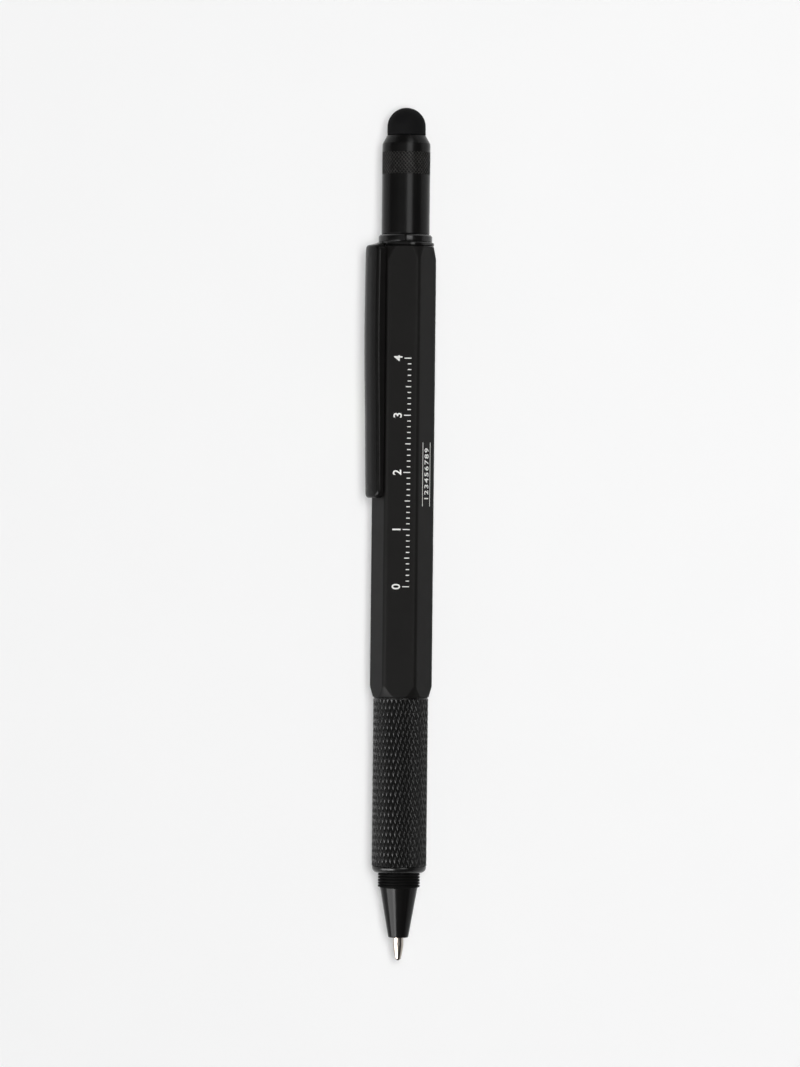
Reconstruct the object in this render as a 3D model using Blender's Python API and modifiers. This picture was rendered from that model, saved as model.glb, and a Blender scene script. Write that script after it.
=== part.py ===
"""Multi tool pen.

A hexagonal barrel carries a pocket clip and a bubble level. Under the stylus cap a double-ended
screwdriver bit sits in a hexagonal socket. Turning the knurled grip draws the refill in and out
through a helical cam. The pen lies on one flat of its barrel, front flat up, writing tip towards
-Y and stylus towards +Y. Lengths are in metres.

Every diameter is stacked outwards from the refill and from the bit, and every length along the
pen from what it holds, so a size can be changed without refitting its neighbours.
"""

from math import cos, pi, radians, sin

import bmesh
import bpy

# Clearances
SEAM_GAP = 0.00012  # closed seam that shows between two pieces
FIT_GAP = 0.00025  # between a piece and its seat or bore
OVERRUN = 0.001  # how far a cutter runs past what it cuts
WELD = 0.000002  # points closer than this are one point
KNURL_MARGIN = 0.00012  # plain ring beside a knurled band

# Refill, with its ball at the very tip of the pen
REFILL_DIAMETER = 0.0023
REFILL_LENGTH = 0.067
REFILL_WALL = 0.0003
REFILL_SHOWING = 0.00405  # what stands out of the nose when the pen is ready to write
TRAVEL = 0.005  # how far the refill draws in
TIP_NECK_DIAMETER = 0.00185
TIP_TAPER_LENGTH = 0.0027
TIP_TAPER_SHARES = ((1, 1), (0.63, 0.84), (0.38, 0.7), (0.14, 0.56))  # of its length and of the neck
TIP_SHOULDER_LENGTH = 0.001
TIP_BODY_LENGTH = 0.002
TIP_PLUG_LENGTH = 0.0022
BALL_DIAMETER = 0.00072
BALL_GAP = 0.00006
BALL_SHOWING = 0.0002
INK_BORE = 0.00025

# Twist mechanism, from the refill outwards
CARRIER_WALL = 0.0004
CARRIER_CUP_DEPTH = 0.005
CARRIER_HEAD = 0.00575
PIN_DIAMETER = 0.0009
PIN_GAP = 0.00012
PIN_BELOW_TOP = 0.003
PIN_PAST_AXIS = 0.00075
PIN_SUNK = 0.00012  # its end below the outside of the cam
SLOT_WIDTH = 0.0016
SLOT_SPARE_TURN = radians(20)
TWIST = radians(180)
PIN_DIRECTION = radians(-90)  # straight up, towards the front flat
GUIDE_WALL = 0.00055
GUIDE_LEAD = 0.002
GUIDE_FLANGE = 0.0015
GUIDE_HEADROOM = 0.006
CAM_WALL = 0.00065
CAM_BELOW_LEDGE = 0.002
CAM_STEP_BELOW_GUIDE = 0.003
CAM_STEM_BORE_GAP = 0.00045
CAM_STEM_LENGTH = 0.01035
NECK_STEP = 0.0003
NECK_FLANGE = 0.00125
RING_SECTION = 0.0008
RING_GAP = 0.00005
RING_SIDE_GAP = 0.0001
RING_GROOVE_DEPTH = 0.00065
RING_BELOW_BUSH_TOP = 0.0017
BUSH_LENGTH = 0.003
BUSH_WALL = 0.00055

# Barrel
LEDGE = 0.00035
BARREL_WALL = 0.00075  # at the middle of a flat
BARREL_CORNER_ROUND = 0.0009
BARREL_TOP_CHAMFER = 0.0023
BARREL_TOP_CHAMFER_DEPTH = 0.00041
BARREL_BOTTOM_CHAMFER = 0.0019
BARREL_BOTTOM_CHAMFER_DEPTH = 0.00053

# Grip
GRIP_LENGTH = 0.03075
GRIP_SET_IN = 0.000025  # how far its crests stay below the flats of the barrel
GRIP_SHOULDER_LENGTH = 0.00122
GRIP_SHOULDER_ROUND = 0.0009
GRIP_SHOULDER_DEPTH = 0.00095
GRIP_SHOULDER_SET_IN = 0.00007
GRIP_DIAMOND_HEIGHT = 0.00227
GRIP_KNURL_DEPTH = 0.00028
GRIP_DIAMONDS_AROUND = 32

# Nose
CONE_LENGTH = 0.00879
CONE_TOP_DIAMETER = 0.0066
CONE_END_DIAMETER = 0.0035
CONE_END_ROUND = 0.00025
NOSE_RINGS = 5
NOSE_RING_PITCH = 0.000504
NOSE_RING_DIAMETER = 0.00735
NOSE_RING_DEPTH = 0.00032
NOSE_RING_LAND_SHARES = (0.35, 0.65)  # of its pitch, where the land starts and ends
NOSE_STEM_LENGTH = 0.0085
NOSE_BORE_GAP = 0.0003
NOSE_THROAT_GAP = 0.0002
NOSE_THROAT_LENGTH = 0.0009

# Bubble level
VIAL_DIAMETER = 0.0048
VIAL_WALL = 0.0005
VIAL_LENGTH = 0.019
VIAL_PLUG_FLANGE = 0.001
VIAL_PLUG_DEPTH = 0.002
LEVEL_END_WALL = 0.0024
LEVEL_END_HOLE = 0.002
LEVEL_TOP_ROOM = 0.00285
WINDOW_LENGTH = 0.0125
WINDOW_WIDTH = 0.0034
BUBBLE_LENGTH = 0.0055
BUBBLE_GAP = 0.0003
LEVEL_FACE = radians(-210)  # the flat that the level shows through

# Screwdriver bit and its holder
BIT_FLATS = 0.004
BIT_LENGTH = 0.023
BIT_CORNER_ROUND = 0.0003
BIT_BLADE_LENGTH = 0.0035
BIT_BLADE_WIDTH = 0.0028
BIT_BLADE_THICKNESS = 0.0006
BIT_CROSS_LENGTH = 0.003
BIT_CROSS_DIAMETER = 0.003
BIT_CROSS_END_DIAMETER = 0.001
BIT_CROSS_WEB = 0.0006
BIT_SHOULDER_LENGTH = 0.0008
SOCKET_DEPTH = 0.0135
SOCKET_FLOOR = 0.003
STUB_WALL = 0.0007
STUB_LENGTH = 0.0049
STUB_CHAMFER = 0.0003
MAGNET_DIAMETER = 0.0032
MAGNET_LENGTH = 0.002
LOCK_RING_LENGTH = 0.00126
LOCK_RING_STEP = 0.00049  # how far it stands out past the cap
LOCK_RING_CHAMFER = 0.0003
LOCK_RING_SPLIT = 0.0002
LOCK_RING_SPLIT_DIRECTION = radians(-84)  # just beside the middle of the front flat
HOLDER_SPARE = 0.002

# Cap and stylus
CAP_WALL = 0.000675
CAP_ROOM = 0.001
CAP_END_WALL = 0.00204
CAP_SHOULDER_LENGTH = 0.00164
CAP_SHOULDER_DEPTH = 0.000835
CAP_KNURL_BELOW_TOP = 0.00294
CAP_KNURL_LENGTH = 0.0039
CAP_KNURL_DEPTH = 0.0001
CAP_KNURL_ROWS = 8
CAP_DIAMONDS_AROUND = 24
DOME_STEP = 0.00002
DOME_STRAIGHT = 0.00147
DOME_WALL = 0.0006
DOME_LIP = 0.00075
CORE_STEM_DIAMETER = 0.0029
CORE_STEM_SUNK = 0.0018
CORE_FLANGE = 0.0008
CORE_POST_DIAMETER = 0.0032
CORE_POST_LENGTH = 0.0008

# Clip
BAND_THICKNESS = 0.0006
BAND_SET_IN = 0.00005
BAND_CORNER_ROUND = 0.0032
BAND_TAB_WIDTH = 0.0036
CLIP_LENGTH = 0.0444
CLIP_WIDTH = 0.0053
CLIP_SHEET = 0.0005
CLIP_STAND_OFF = 0.00195  # outer face above the flat, at the top
CLIP_EDGE_GAP = 0.0003  # lower edge of its walls above the flat
CLIP_EDGE_ROUND = 0.0005
CLIP_CORNER_ROUND = 0.0012
CLIP_CROWN = 0.0002
CLIP_BOW = 0.00012
CLIP_BOW_SHARE = 0.67  # of its length, from the top
CLIP_DROOP = 0.0004
CLIP_DROOP_SHARE = 0.67  # of its length, up to the bottom
CLIP_DROOP_POWER = 1.5
CLIP_RISE = 0.0002  # top of the clip above the barrel
CLIP_RIDGE_WIDTH = 0.0012
CLIP_RIDGE_ROUND = 0.0004
CLIP_FACE = radians(-150)

# Facets
TURNING_SIDES = 48
ROUND_SIDES = 32
INNER_SIDES = 20
SMALL_SIDES = 12
ARC_STEPS = 3
DOME_STEPS = 6
RING_STEPS = 6
SLOT_STEPS = 20
ROD_ROUNDING = 3
CLIP_BAYS = 6
HEX = 6
SHARP_ANGLE = radians(35)  # an edge that turns by more stays sharp

# Radii, stacked outwards from the refill
refill_radius = REFILL_DIAMETER / 2
cup_radius = refill_radius + FIT_GAP
carrier_radius = cup_radius + CARRIER_WALL
guide_bore = carrier_radius + FIT_GAP
guide_radius = guide_bore + GUIDE_WALL
cam_bore = guide_radius + FIT_GAP
cam_radius = cam_bore + CAM_WALL
lower_bore = cam_radius + FIT_GAP
upper_bore = lower_bore + LEDGE
apothem = upper_bore + BARREL_WALL
seat_radius = upper_bore - FIT_GAP  # what is pushed into the barrel from above
neck_radius = cam_radius - NECK_STEP
neck_bore = neck_radius + FIT_GAP
bush_radius = neck_bore + BUSH_WALL
mouth_radius = bush_radius + FIT_GAP
cam_stem_bore = refill_radius + CAM_STEM_BORE_GAP
grip_radius = apothem - GRIP_SET_IN
corner_reach = (apothem - BARREL_CORNER_ROUND) / cos(pi / HEX) + BARREL_CORNER_ROUND

# Radii, stacked outwards from the bit
socket_apothem = BIT_FLATS / 2 + FIT_GAP
stub_radius = socket_apothem / cos(pi / HEX) + STUB_WALL
cap_bore = stub_radius + FIT_GAP
cap_radius = cap_bore + CAP_WALL
lock_ring_radius = cap_radius + LOCK_RING_STEP
band_bore = stub_radius + FIT_GAP
dome_radius = cap_radius - CAP_SHOULDER_DEPTH - DOME_STEP
core_bore = CORE_STEM_DIAMETER / 2 + FIT_GAP

# Places along the pen, measured from the writing tip
nose_end = REFILL_SHOWING
cone_top = nose_end + CONE_LENGTH
rings_top = cone_top + NOSE_RINGS * NOSE_RING_PITCH
grip_bottom = rings_top + SEAM_GAP
grip_top = grip_bottom + GRIP_LENGTH
nose_stem_top = rings_top + NOSE_STEM_LENGTH
barrel_bottom = grip_top + SEAM_GAP
bush_bottom = barrel_bottom + FIT_GAP
bush_top = bush_bottom + BUSH_LENGTH
flange_bottom = bush_top + FIT_GAP
flange_top = flange_bottom + NECK_FLANGE
mouth_top = flange_top + FIT_GAP
ring_place = bush_top - RING_BELOW_BUSH_TOP
carrier_bottom = REFILL_LENGTH - CARRIER_CUP_DEPTH
cup_floor = REFILL_LENGTH + FIT_GAP
carrier_top = cup_floor + CARRIER_HEAD
pin_place = carrier_top - PIN_BELOW_TOP
ledge_place = carrier_top + TRAVEL + GUIDE_HEADROOM
guide_bottom = carrier_bottom - GUIDE_LEAD
guide_top = ledge_place + FIT_GAP + GUIDE_FLANGE
cam_top = ledge_place - CAM_BELOW_LEDGE
cam_bottom = barrel_bottom - CAM_STEM_LENGTH
level_bottom = guide_top + FIT_GAP
vial_bottom = level_bottom + LEVEL_END_WALL
vial_top = vial_bottom + VIAL_LENGTH
plug_flange_bottom = vial_top + FIT_GAP
level_top = plug_flange_bottom + VIAL_PLUG_FLANGE + LEVEL_TOP_ROOM
bubble_room_bottom = vial_bottom + VIAL_WALL
bubble_room_top = vial_top - VIAL_PLUG_DEPTH
bubble_place = (bubble_room_bottom + bubble_room_top) / 2
magnet_pocket_depth = MAGNET_LENGTH + 2 * FIT_GAP
above_barrel = 2 * SEAM_GAP + BAND_THICKNESS + LOCK_RING_LENGTH + STUB_LENGTH
stem_length = SOCKET_DEPTH + magnet_pocket_depth + SOCKET_FLOOR - above_barrel
stem_bottom = level_top + HOLDER_SPARE
barrel_top = stem_bottom + stem_length
band_bottom = barrel_top + SEAM_GAP
lock_ring_bottom = band_bottom + BAND_THICKNESS + SEAM_GAP
lock_ring_top = lock_ring_bottom + LOCK_RING_LENGTH
stub_top = lock_ring_top + STUB_LENGTH
socket_floor = stub_top - SOCKET_DEPTH
bit_bottom = socket_floor
bit_top = bit_bottom + BIT_LENGTH
cap_bottom = lock_ring_top + SEAM_GAP
cap_bore_top = bit_top + CAP_ROOM
cap_top = cap_bore_top + CAP_END_WALL
dome_bottom = cap_top + SEAM_GAP
dome_centre = dome_bottom + DOME_STRAIGHT
core_flange_bottom = dome_bottom + DOME_LIP + FIT_GAP
clip_top = barrel_top + CLIP_RISE
barrel_middle = (barrel_bottom + barrel_top) / 2

PEN = "multi_tool_pen"
CUTTERS = "cutters"


def clear_scene():
    """Remove whatever the scene holds."""
    for thing in list(bpy.data.objects):
        bpy.data.objects.remove(thing, do_unlink=True)


def collection(name):
    """The collection of that name, made and linked when it is first asked for."""
    group = bpy.data.collections.get(name)
    if group is None:
        group = bpy.data.collections.new(name)
    if group.name not in bpy.context.scene.collection.children:
        bpy.context.scene.collection.children.link(group)
    return group


def finish(name, colour, roughness, metallic):
    """Principled material in one colour."""
    material = bpy.data.materials.new(name + "_finish")
    material.use_nodes = True
    shader = material.node_tree.nodes["Principled BSDF"]
    shader.inputs["Base Color"].default_value = (*colour, 1)
    shader.inputs["Roughness"].default_value = roughness
    shader.inputs["Metallic"].default_value = metallic
    return material


def black_coat(name):
    """Satin black anodised aluminium."""
    return finish(name, (0.022, 0.021, 0.021), 0.42, 0.3)


def steel(name):
    """Bright steel."""
    return finish(name, (0.60, 0.59, 0.57), 0.28, 1.0)


def brass(name):
    """Turned brass."""
    return finish(name, (0.62, 0.46, 0.20), 0.35, 1.0)


def moulding(name, colour):
    """Moulded plastic."""
    return finish(name, colour, 0.5, 0.0)


def rubber(name):
    """Matt black silicone rubber."""
    return finish(name, (0.012, 0.012, 0.013), 0.7, 0.0)


def axis_empty(name, parent=None, place=(0, 0, 0), turn=(0, 0, 0)):
    """Empty that carries one moving group. The pen's axis is the Z axis of all but the clip's."""
    empty = bpy.data.objects.new(name, None)
    collection(PEN).objects.link(empty)
    empty.parent = parent
    empty.location = place
    empty.rotation_euler = turn
    return empty


def add_piece(name, mesh, parent, material, place=(0, 0, 0), turn=(0, 0, 0)):
    """Link a mesh as a piece of the pen, or as a cutter when it has no material."""
    piece = bpy.data.objects.new(name, mesh)
    piece.parent = parent
    piece.location = place
    piece.rotation_euler = turn
    if material is None:
        collection(CUTTERS).objects.link(piece)
        piece.hide_render = True
        piece.display_type = "WIRE"
    else:
        collection(PEN).objects.link(piece)
        mesh.materials.append(material)
    return piece


def evaluated_mesh(thing, name):
    """Mesh of an object as its modifiers or its curve give it."""
    bpy.context.view_layer.update()
    depsgraph = bpy.context.evaluated_depsgraph_get()
    mesh = bpy.data.meshes.new_from_object(thing.evaluated_get(depsgraph))
    mesh.name = name
    return mesh


def shade(mesh):
    """Smooth shading, with the real edges kept sharp."""
    mesh.shade_smooth()
    mesh.set_sharp_from_angle(angle=SHARP_ANGLE)


def turned(name, profile, sides, parent, material=None):
    """Piece turned on the pen's axis from (radius, place) points, outer side first, from the top down."""
    mesh = bpy.data.meshes.new(name)
    points = [(radius, 0, place) for radius, place in profile]
    edges = [(k, k + 1) for k in range(len(points) - 1)]
    if profile[0][0] > 0:
        edges.append((len(points) - 1, 0))
    mesh.from_pydata(points, edges, [])
    blank = bpy.data.objects.new(name, mesh)
    bpy.context.scene.collection.objects.link(blank)
    screw = blank.modifiers.new("turn", "SCREW")
    screw.steps = screw.render_steps = sides
    screw.use_merge_vertices = True
    screw.merge_threshold = WELD
    turned_mesh = evaluated_mesh(blank, name)
    bpy.data.objects.remove(blank)
    shade(turned_mesh)
    return add_piece(name, turned_mesh, parent, material)


def cylinder(name, radius, top, bottom, sides, parent, material=None):
    """Plain cylinder on the pen's axis."""
    profile = [(0, top), (radius, top), (radius, bottom), (0, bottom)]
    return turned(name, profile, sides, parent, material)


def curve_piece(name, curve, parent, material, place=(0, 0, 0), turn=(0, 0, 0)):
    """Closed mesh piece from a curve, with its caps welded on."""
    drawn = bpy.data.objects.new(name, curve)
    bpy.context.scene.collection.objects.link(drawn)
    mesh = evaluated_mesh(drawn, name)
    bpy.data.objects.remove(drawn)
    edit = bmesh.new()
    edit.from_mesh(mesh)
    bmesh.ops.remove_doubles(edit, verts=edit.verts, dist=WELD)
    edit.to_mesh(mesh)
    edit.free()
    return add_piece(name, mesh, parent, material, place, turn)


def plate(name, outlines, thickness, parent, material=None, place=(0, 0, 0), turn=(0, 0, 0)):
    """Plate of a thickness from flat outlines, of which all but the first are holes."""
    curve = bpy.data.curves.new(name, "CURVE")
    curve.dimensions = "2D"
    curve.fill_mode = "BOTH"
    curve.extrude = thickness / 2
    for points in outlines:
        add_spline(curve, [(x, y, 0) for x, y in points], cyclic=True)
    return curve_piece(name, curve, parent, material, place, turn)


def rod_along(name, points, radius, parent, material=None):
    """Round rod along points, with flat filled ends."""
    curve = bpy.data.curves.new(name, "CURVE")
    curve.dimensions = "3D"
    curve.bevel_depth = radius
    curve.bevel_resolution = ROD_ROUNDING
    curve.use_fill_caps = True
    add_spline(curve, points, cyclic=False)
    return curve_piece(name, curve, parent, material)


def add_spline(curve, points, cyclic):
    """Straight-sided spline through points."""
    spline = curve.splines.new("POLY")
    spline.points.add(len(points) - 1)
    for spot, point in zip(spline.points, points):
        spot.co = (*point, 1)
    spline.use_cyclic_u = cyclic


def block(name, size, parent, material=None, place=(0, 0, 0), turn=(0, 0, 0)):
    """Box of a size, about its own middle."""
    edit = bmesh.new()
    bmesh.ops.create_cube(edit, size=1)
    bmesh.ops.scale(edit, vec=size, verts=edit.verts)
    mesh = bpy.data.meshes.new(name)
    edit.to_mesh(mesh)
    edit.free()
    return add_piece(name, mesh, parent, material, place, turn)


def combine(piece, tool, operation="DIFFERENCE"):
    """Cut a tool out of a piece, or keep what both hold."""
    change = piece.modifiers.new(tool.name, "BOOLEAN")
    change.operation = operation
    change.object = tool


def arc(centre, radii, start, end, steps):
    """Points of an elliptic arc in the (radius, place) plane, angles from the outward direction."""
    points = []
    for step in range(steps + 1):
        angle = radians(start + (end - start) * step / steps)
        points.append((centre[0] + radii[0] * cos(angle), centre[1] + radii[1] * sin(angle)))
    return points


def rounded_polygon(sides, flat_reach, corner_round):
    """Outline of a regular polygon whose flats lie flat_reach from its middle, a corner on +X."""
    points = []
    centre_reach = (flat_reach - corner_round) / cos(pi / sides)
    for corner in range(sides):
        middle = 2 * pi * corner / sides
        for step in range(ARC_STEPS + 1):
            angle = middle + pi / sides * (2 * step / ARC_STEPS - 1)
            x = centre_reach * cos(middle) + corner_round * cos(angle)
            y = centre_reach * sin(middle) + corner_round * sin(angle)
            points.append((x, y))
    return points


def slot_outline(length, width):
    """Outline of a slot with round ends, along X."""
    points = []
    for end in (1, -1):
        for step in range(2 * ARC_STEPS + 1):
            angle = pi * (step / (2 * ARC_STEPS) - 0.5)
            reach = (length - width) / 2 + width / 2 * cos(angle)
            points.append((end * reach, end * width / 2 * sin(angle)))
    return points


def circle_outline(radius, sides):
    """Outline of a circle."""
    return [(radius * cos(2 * pi * k / sides), radius * sin(2 * pi * k / sides)) for k in range(sides)]


def knurled(name, above, band, below, around, parent, material):
    """Turned ring whose band has diamond knurling: peaks and roots alternate like a chessboard.

    above and below are (radius, place) points that join the band's two ends through the bore.
    band gives the radius of the peaks, the depth of the roots, both ends and the rows between.
    """
    radius, depth, top, bottom, rows = band
    columns = 2 * around
    rings = [[(r, place)] * columns for r, place in above]
    for row in range(rows + 1):
        place = top + (bottom - top) * row / rows
        rings.append([(radius - depth * ((row + column) % 2), place) for column in range(columns)])
    rings += [[(r, place)] * columns for r, place in below]
    edit = bmesh.new()
    grid = []
    for ring in rings:
        spots = []
        for column, (r, place) in enumerate(ring):
            angle = 2 * pi * column / columns
            spots.append(edit.verts.new((r * cos(angle), r * sin(angle), place)))
        grid.append(spots)
    first_row = len(above)
    for k, ring in enumerate(grid):
        after = grid[(k + 1) % len(grid)]
        row = k - first_row
        for column in range(columns):
            beside = (column + 1) % columns
            corners = [ring[column], after[column], after[beside], ring[beside]]
            if 0 <= row < rows:
                # a groove runs from root to root across the cell
                start = 1 if (row + column) % 2 == 0 else 0
                edit.faces.new([corners[start], corners[start + 1], corners[(start + 2) % 4]])
                edit.faces.new([corners[(start + 2) % 4], corners[(start + 3) % 4], corners[start]])
            else:
                edit.faces.new(corners)
    mesh = bpy.data.meshes.new(name)
    edit.to_mesh(mesh)
    edit.free()
    return add_piece(name, mesh, parent, material)


def make_barrel(barrel):
    """Hexagonal barrel with turned ends, a stepped bore and the window of the level."""
    length = barrel_top - barrel_bottom
    outline = rounded_polygon(HEX, apothem, BARREL_CORNER_ROUND)
    body = plate("hex_barrel", [outline], length, barrel, black_coat("hex_barrel"), (0, 0, barrel_middle))
    sharp_reach = apothem / cos(pi / HEX)
    top_slope = BARREL_TOP_CHAMFER / BARREL_TOP_CHAMFER_DEPTH
    bottom_slope = BARREL_BOTTOM_CHAMFER / BARREL_BOTTOM_CHAMFER_DEPTH
    top_reach = corner_reach - BARREL_TOP_CHAMFER_DEPTH
    bottom_reach = corner_reach - BARREL_BOTTOM_CHAMFER_DEPTH
    ends = [
        (0, barrel_top),
        (top_reach, barrel_top),
        (sharp_reach, barrel_top - (sharp_reach - top_reach) * top_slope),
        (sharp_reach, barrel_bottom + (sharp_reach - bottom_reach) * bottom_slope),
        (bottom_reach, barrel_bottom),
        (0, barrel_bottom),
    ]
    combine(body, turned("barrel_turning", ends, TURNING_SIDES, barrel), "INTERSECT")
    bore = [
        (0, barrel_top + OVERRUN),
        (upper_bore, barrel_top + OVERRUN),
        (upper_bore, ledge_place),
        (lower_bore, ledge_place),
        (lower_bore, mouth_top),
        (mouth_radius, mouth_top),
        (mouth_radius, barrel_bottom - OVERRUN),
        (0, barrel_bottom - OVERRUN),
    ]
    combine(body, turned("barrel_bore", bore, ROUND_SIDES, barrel))
    combine(body, window_cutter("barrel_window", upper_bore - OVERRUN, apothem + OVERRUN, barrel))


def window_cutter(name, inside, outside, parent):
    """Slot cutter that passes through a wall at the level's face."""
    middle = (inside + outside) / 2
    place = (middle * cos(LEVEL_FACE), middle * sin(LEVEL_FACE), bubble_place)
    outline = slot_outline(WINDOW_LENGTH, WINDOW_WIDTH)
    return plate(name, [outline], outside - inside, parent, None, place, (0, pi / 2, LEVEL_FACE))


def make_level(barrel, bubble_axis):
    """Bubble level: moulded holder, clear vial, plug and bubble."""
    vial_radius = VIAL_DIAMETER / 2
    vial_bore = vial_radius - VIAL_WALL
    holder_bore = vial_radius + FIT_GAP
    holder_profile = [
        (seat_radius, level_top),
        (seat_radius, level_bottom),
        (LEVEL_END_HOLE / 2, level_bottom),
        (LEVEL_END_HOLE / 2, vial_bottom - FIT_GAP),
        (holder_bore, vial_bottom - FIT_GAP),
        (holder_bore, level_top),
    ]
    paint = moulding("level_holder", (0.05, 0.05, 0.05))
    holder = turned("level_holder", holder_profile, INNER_SIDES, barrel, paint)
    combine(holder, window_cutter("holder_window", vial_radius, apothem + OVERRUN, barrel))
    paint = moulding("level_vial", (0.75, 0.85, 0.35))
    vial = cylinder("level_vial", vial_radius, vial_top, vial_bottom, INNER_SIDES, barrel, paint)
    room_top = vial_top + OVERRUN
    combine(vial, cylinder("vial_bore", vial_bore, room_top, bubble_room_bottom, INNER_SIDES, barrel))
    plug_radius = vial_bore - FIT_GAP
    plug_profile = [
        (0, plug_flange_bottom + VIAL_PLUG_FLANGE),
        (vial_radius, plug_flange_bottom + VIAL_PLUG_FLANGE),
        (vial_radius, plug_flange_bottom),
        (plug_radius, plug_flange_bottom),
        (plug_radius, bubble_room_top),
        (0, bubble_room_top),
    ]
    turned("level_plug", plug_profile, INNER_SIDES, barrel, moulding("level_plug", (0.04, 0.04, 0.04)))
    bubble_radii = (vial_bore - BUBBLE_GAP, BUBBLE_LENGTH / 2)
    bubble_profile = arc((0, bubble_place), bubble_radii, 90, -90, DOME_STEPS + 1)
    paint = moulding("level_bubble", (0.9, 0.95, 0.8))
    turned("level_bubble", pinned_to_axis(bubble_profile), SMALL_SIDES, bubble_axis, paint)


def pinned_to_axis(profile):
    """The profile with its two ends exactly on the axis."""
    return [(0, profile[0][1])] + profile[1:-1] + [(0, profile[-1][1])]


def make_holder(barrel):
    """Bit holder with the stub for the cap, the hexagonal socket and its magnet, and the lock ring."""
    profile = [
        (0, stub_top),
        (stub_radius - STUB_CHAMFER, stub_top),
        (stub_radius, stub_top - STUB_CHAMFER),
        (stub_radius, barrel_top),
        (seat_radius, barrel_top),
        (seat_radius, stem_bottom),
        (0, stem_bottom),
    ]
    holder = turned("bit_holder", profile, ROUND_SIDES, barrel, black_coat("bit_holder"))
    depth = SOCKET_DEPTH + OVERRUN
    outline = rounded_polygon(HEX, socket_apothem, BIT_CORNER_ROUND)
    combine(holder, plate("socket", [outline], depth, barrel, None, (0, 0, socket_floor + depth / 2)))
    pocket_radius = MAGNET_DIAMETER / 2 + FIT_GAP
    pocket_floor = socket_floor - magnet_pocket_depth
    pocket_top = socket_floor + OVERRUN
    combine(holder, cylinder("magnet_pocket", pocket_radius, pocket_top, pocket_floor, INNER_SIDES, barrel))
    bottom = pocket_floor + FIT_GAP
    radius = MAGNET_DIAMETER / 2
    cylinder("bit_magnet", radius, bottom + MAGNET_LENGTH, bottom, SMALL_SIDES, barrel, steel("bit_magnet"))
    ring_profile = [
        (band_bore, lock_ring_top),
        (lock_ring_radius - LOCK_RING_CHAMFER, lock_ring_top),
        (lock_ring_radius, lock_ring_top - LOCK_RING_CHAMFER),
        (lock_ring_radius, lock_ring_bottom),
        (band_bore, lock_ring_bottom),
    ]
    ring = turned("lock_ring", ring_profile, ROUND_SIDES, barrel, black_coat("lock_ring"))
    reach = (band_bore + lock_ring_radius) / 2
    split_middle = (lock_ring_bottom + lock_ring_top) / 2
    direction = LOCK_RING_SPLIT_DIRECTION
    place = (reach * cos(direction), reach * sin(direction), split_middle)
    size = (lock_ring_radius - band_bore + OVERRUN, LOCK_RING_SPLIT, LOCK_RING_LENGTH + OVERRUN)
    combine(ring, block("ring_split", size, barrel, None, place, (0, 0, direction)))


def make_bit(bit_axis):
    """Double-ended bit: a cross point at the top and a flat blade at the bottom."""
    outline = rounded_polygon(HEX, BIT_FLATS / 2, BIT_CORNER_ROUND)
    middle = (bit_bottom + bit_top) / 2
    bit = plate("screwdriver_bit", [outline], BIT_LENGTH, bit_axis, steel("screwdriver_bit"), (0, 0, middle))
    shank_top = bit_top - BIT_CROSS_LENGTH - BIT_SHOULDER_LENGTH
    shank_bottom = bit_bottom + BIT_BLADE_LENGTH + BIT_SHOULDER_LENGTH
    corner = BIT_FLATS / 2 / cos(pi / HEX)
    profile = [
        (0, bit_top),
        (BIT_CROSS_END_DIAMETER / 2, bit_top),
        (BIT_CROSS_DIAMETER / 2, bit_top - BIT_CROSS_LENGTH),
        (corner, shank_top),
        (corner, shank_bottom),
        (BIT_BLADE_WIDTH / 2, bit_bottom + BIT_BLADE_LENGTH),
        (BIT_BLADE_WIDTH / 2, bit_bottom),
        (0, bit_bottom),
    ]
    combine(bit, turned("bit_turning", profile, INNER_SIDES, bit_axis), "INTERSECT")
    # four flutes leave the cross
    flute_width = BIT_CROSS_DIAMETER
    flute_length = BIT_CROSS_LENGTH + OVERRUN
    reach = (BIT_CROSS_WEB + flute_width) / 2
    flute_size = (flute_width, flute_width, flute_length)
    for number, (x, y) in enumerate(((1, 1), (-1, 1), (-1, -1), (1, -1)), start=1):
        place = (x * reach, y * reach, bit_top - BIT_CROSS_LENGTH + flute_length / 2)
        combine(bit, block(f"flute_{number}", flute_size, bit_axis, None, place))
    # two flats leave the blade
    flat_length = BIT_BLADE_LENGTH + OVERRUN
    reach = (BIT_BLADE_THICKNESS + BIT_BLADE_WIDTH) / 2
    flat_size = (BIT_FLATS, BIT_BLADE_WIDTH, flat_length)
    for number, side in enumerate((1, -1), start=1):
        place = (0, side * reach, bit_bottom + BIT_BLADE_LENGTH - flat_length / 2)
        combine(bit, block(f"blade_flat_{number}", flat_size, bit_axis, None, place))


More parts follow.
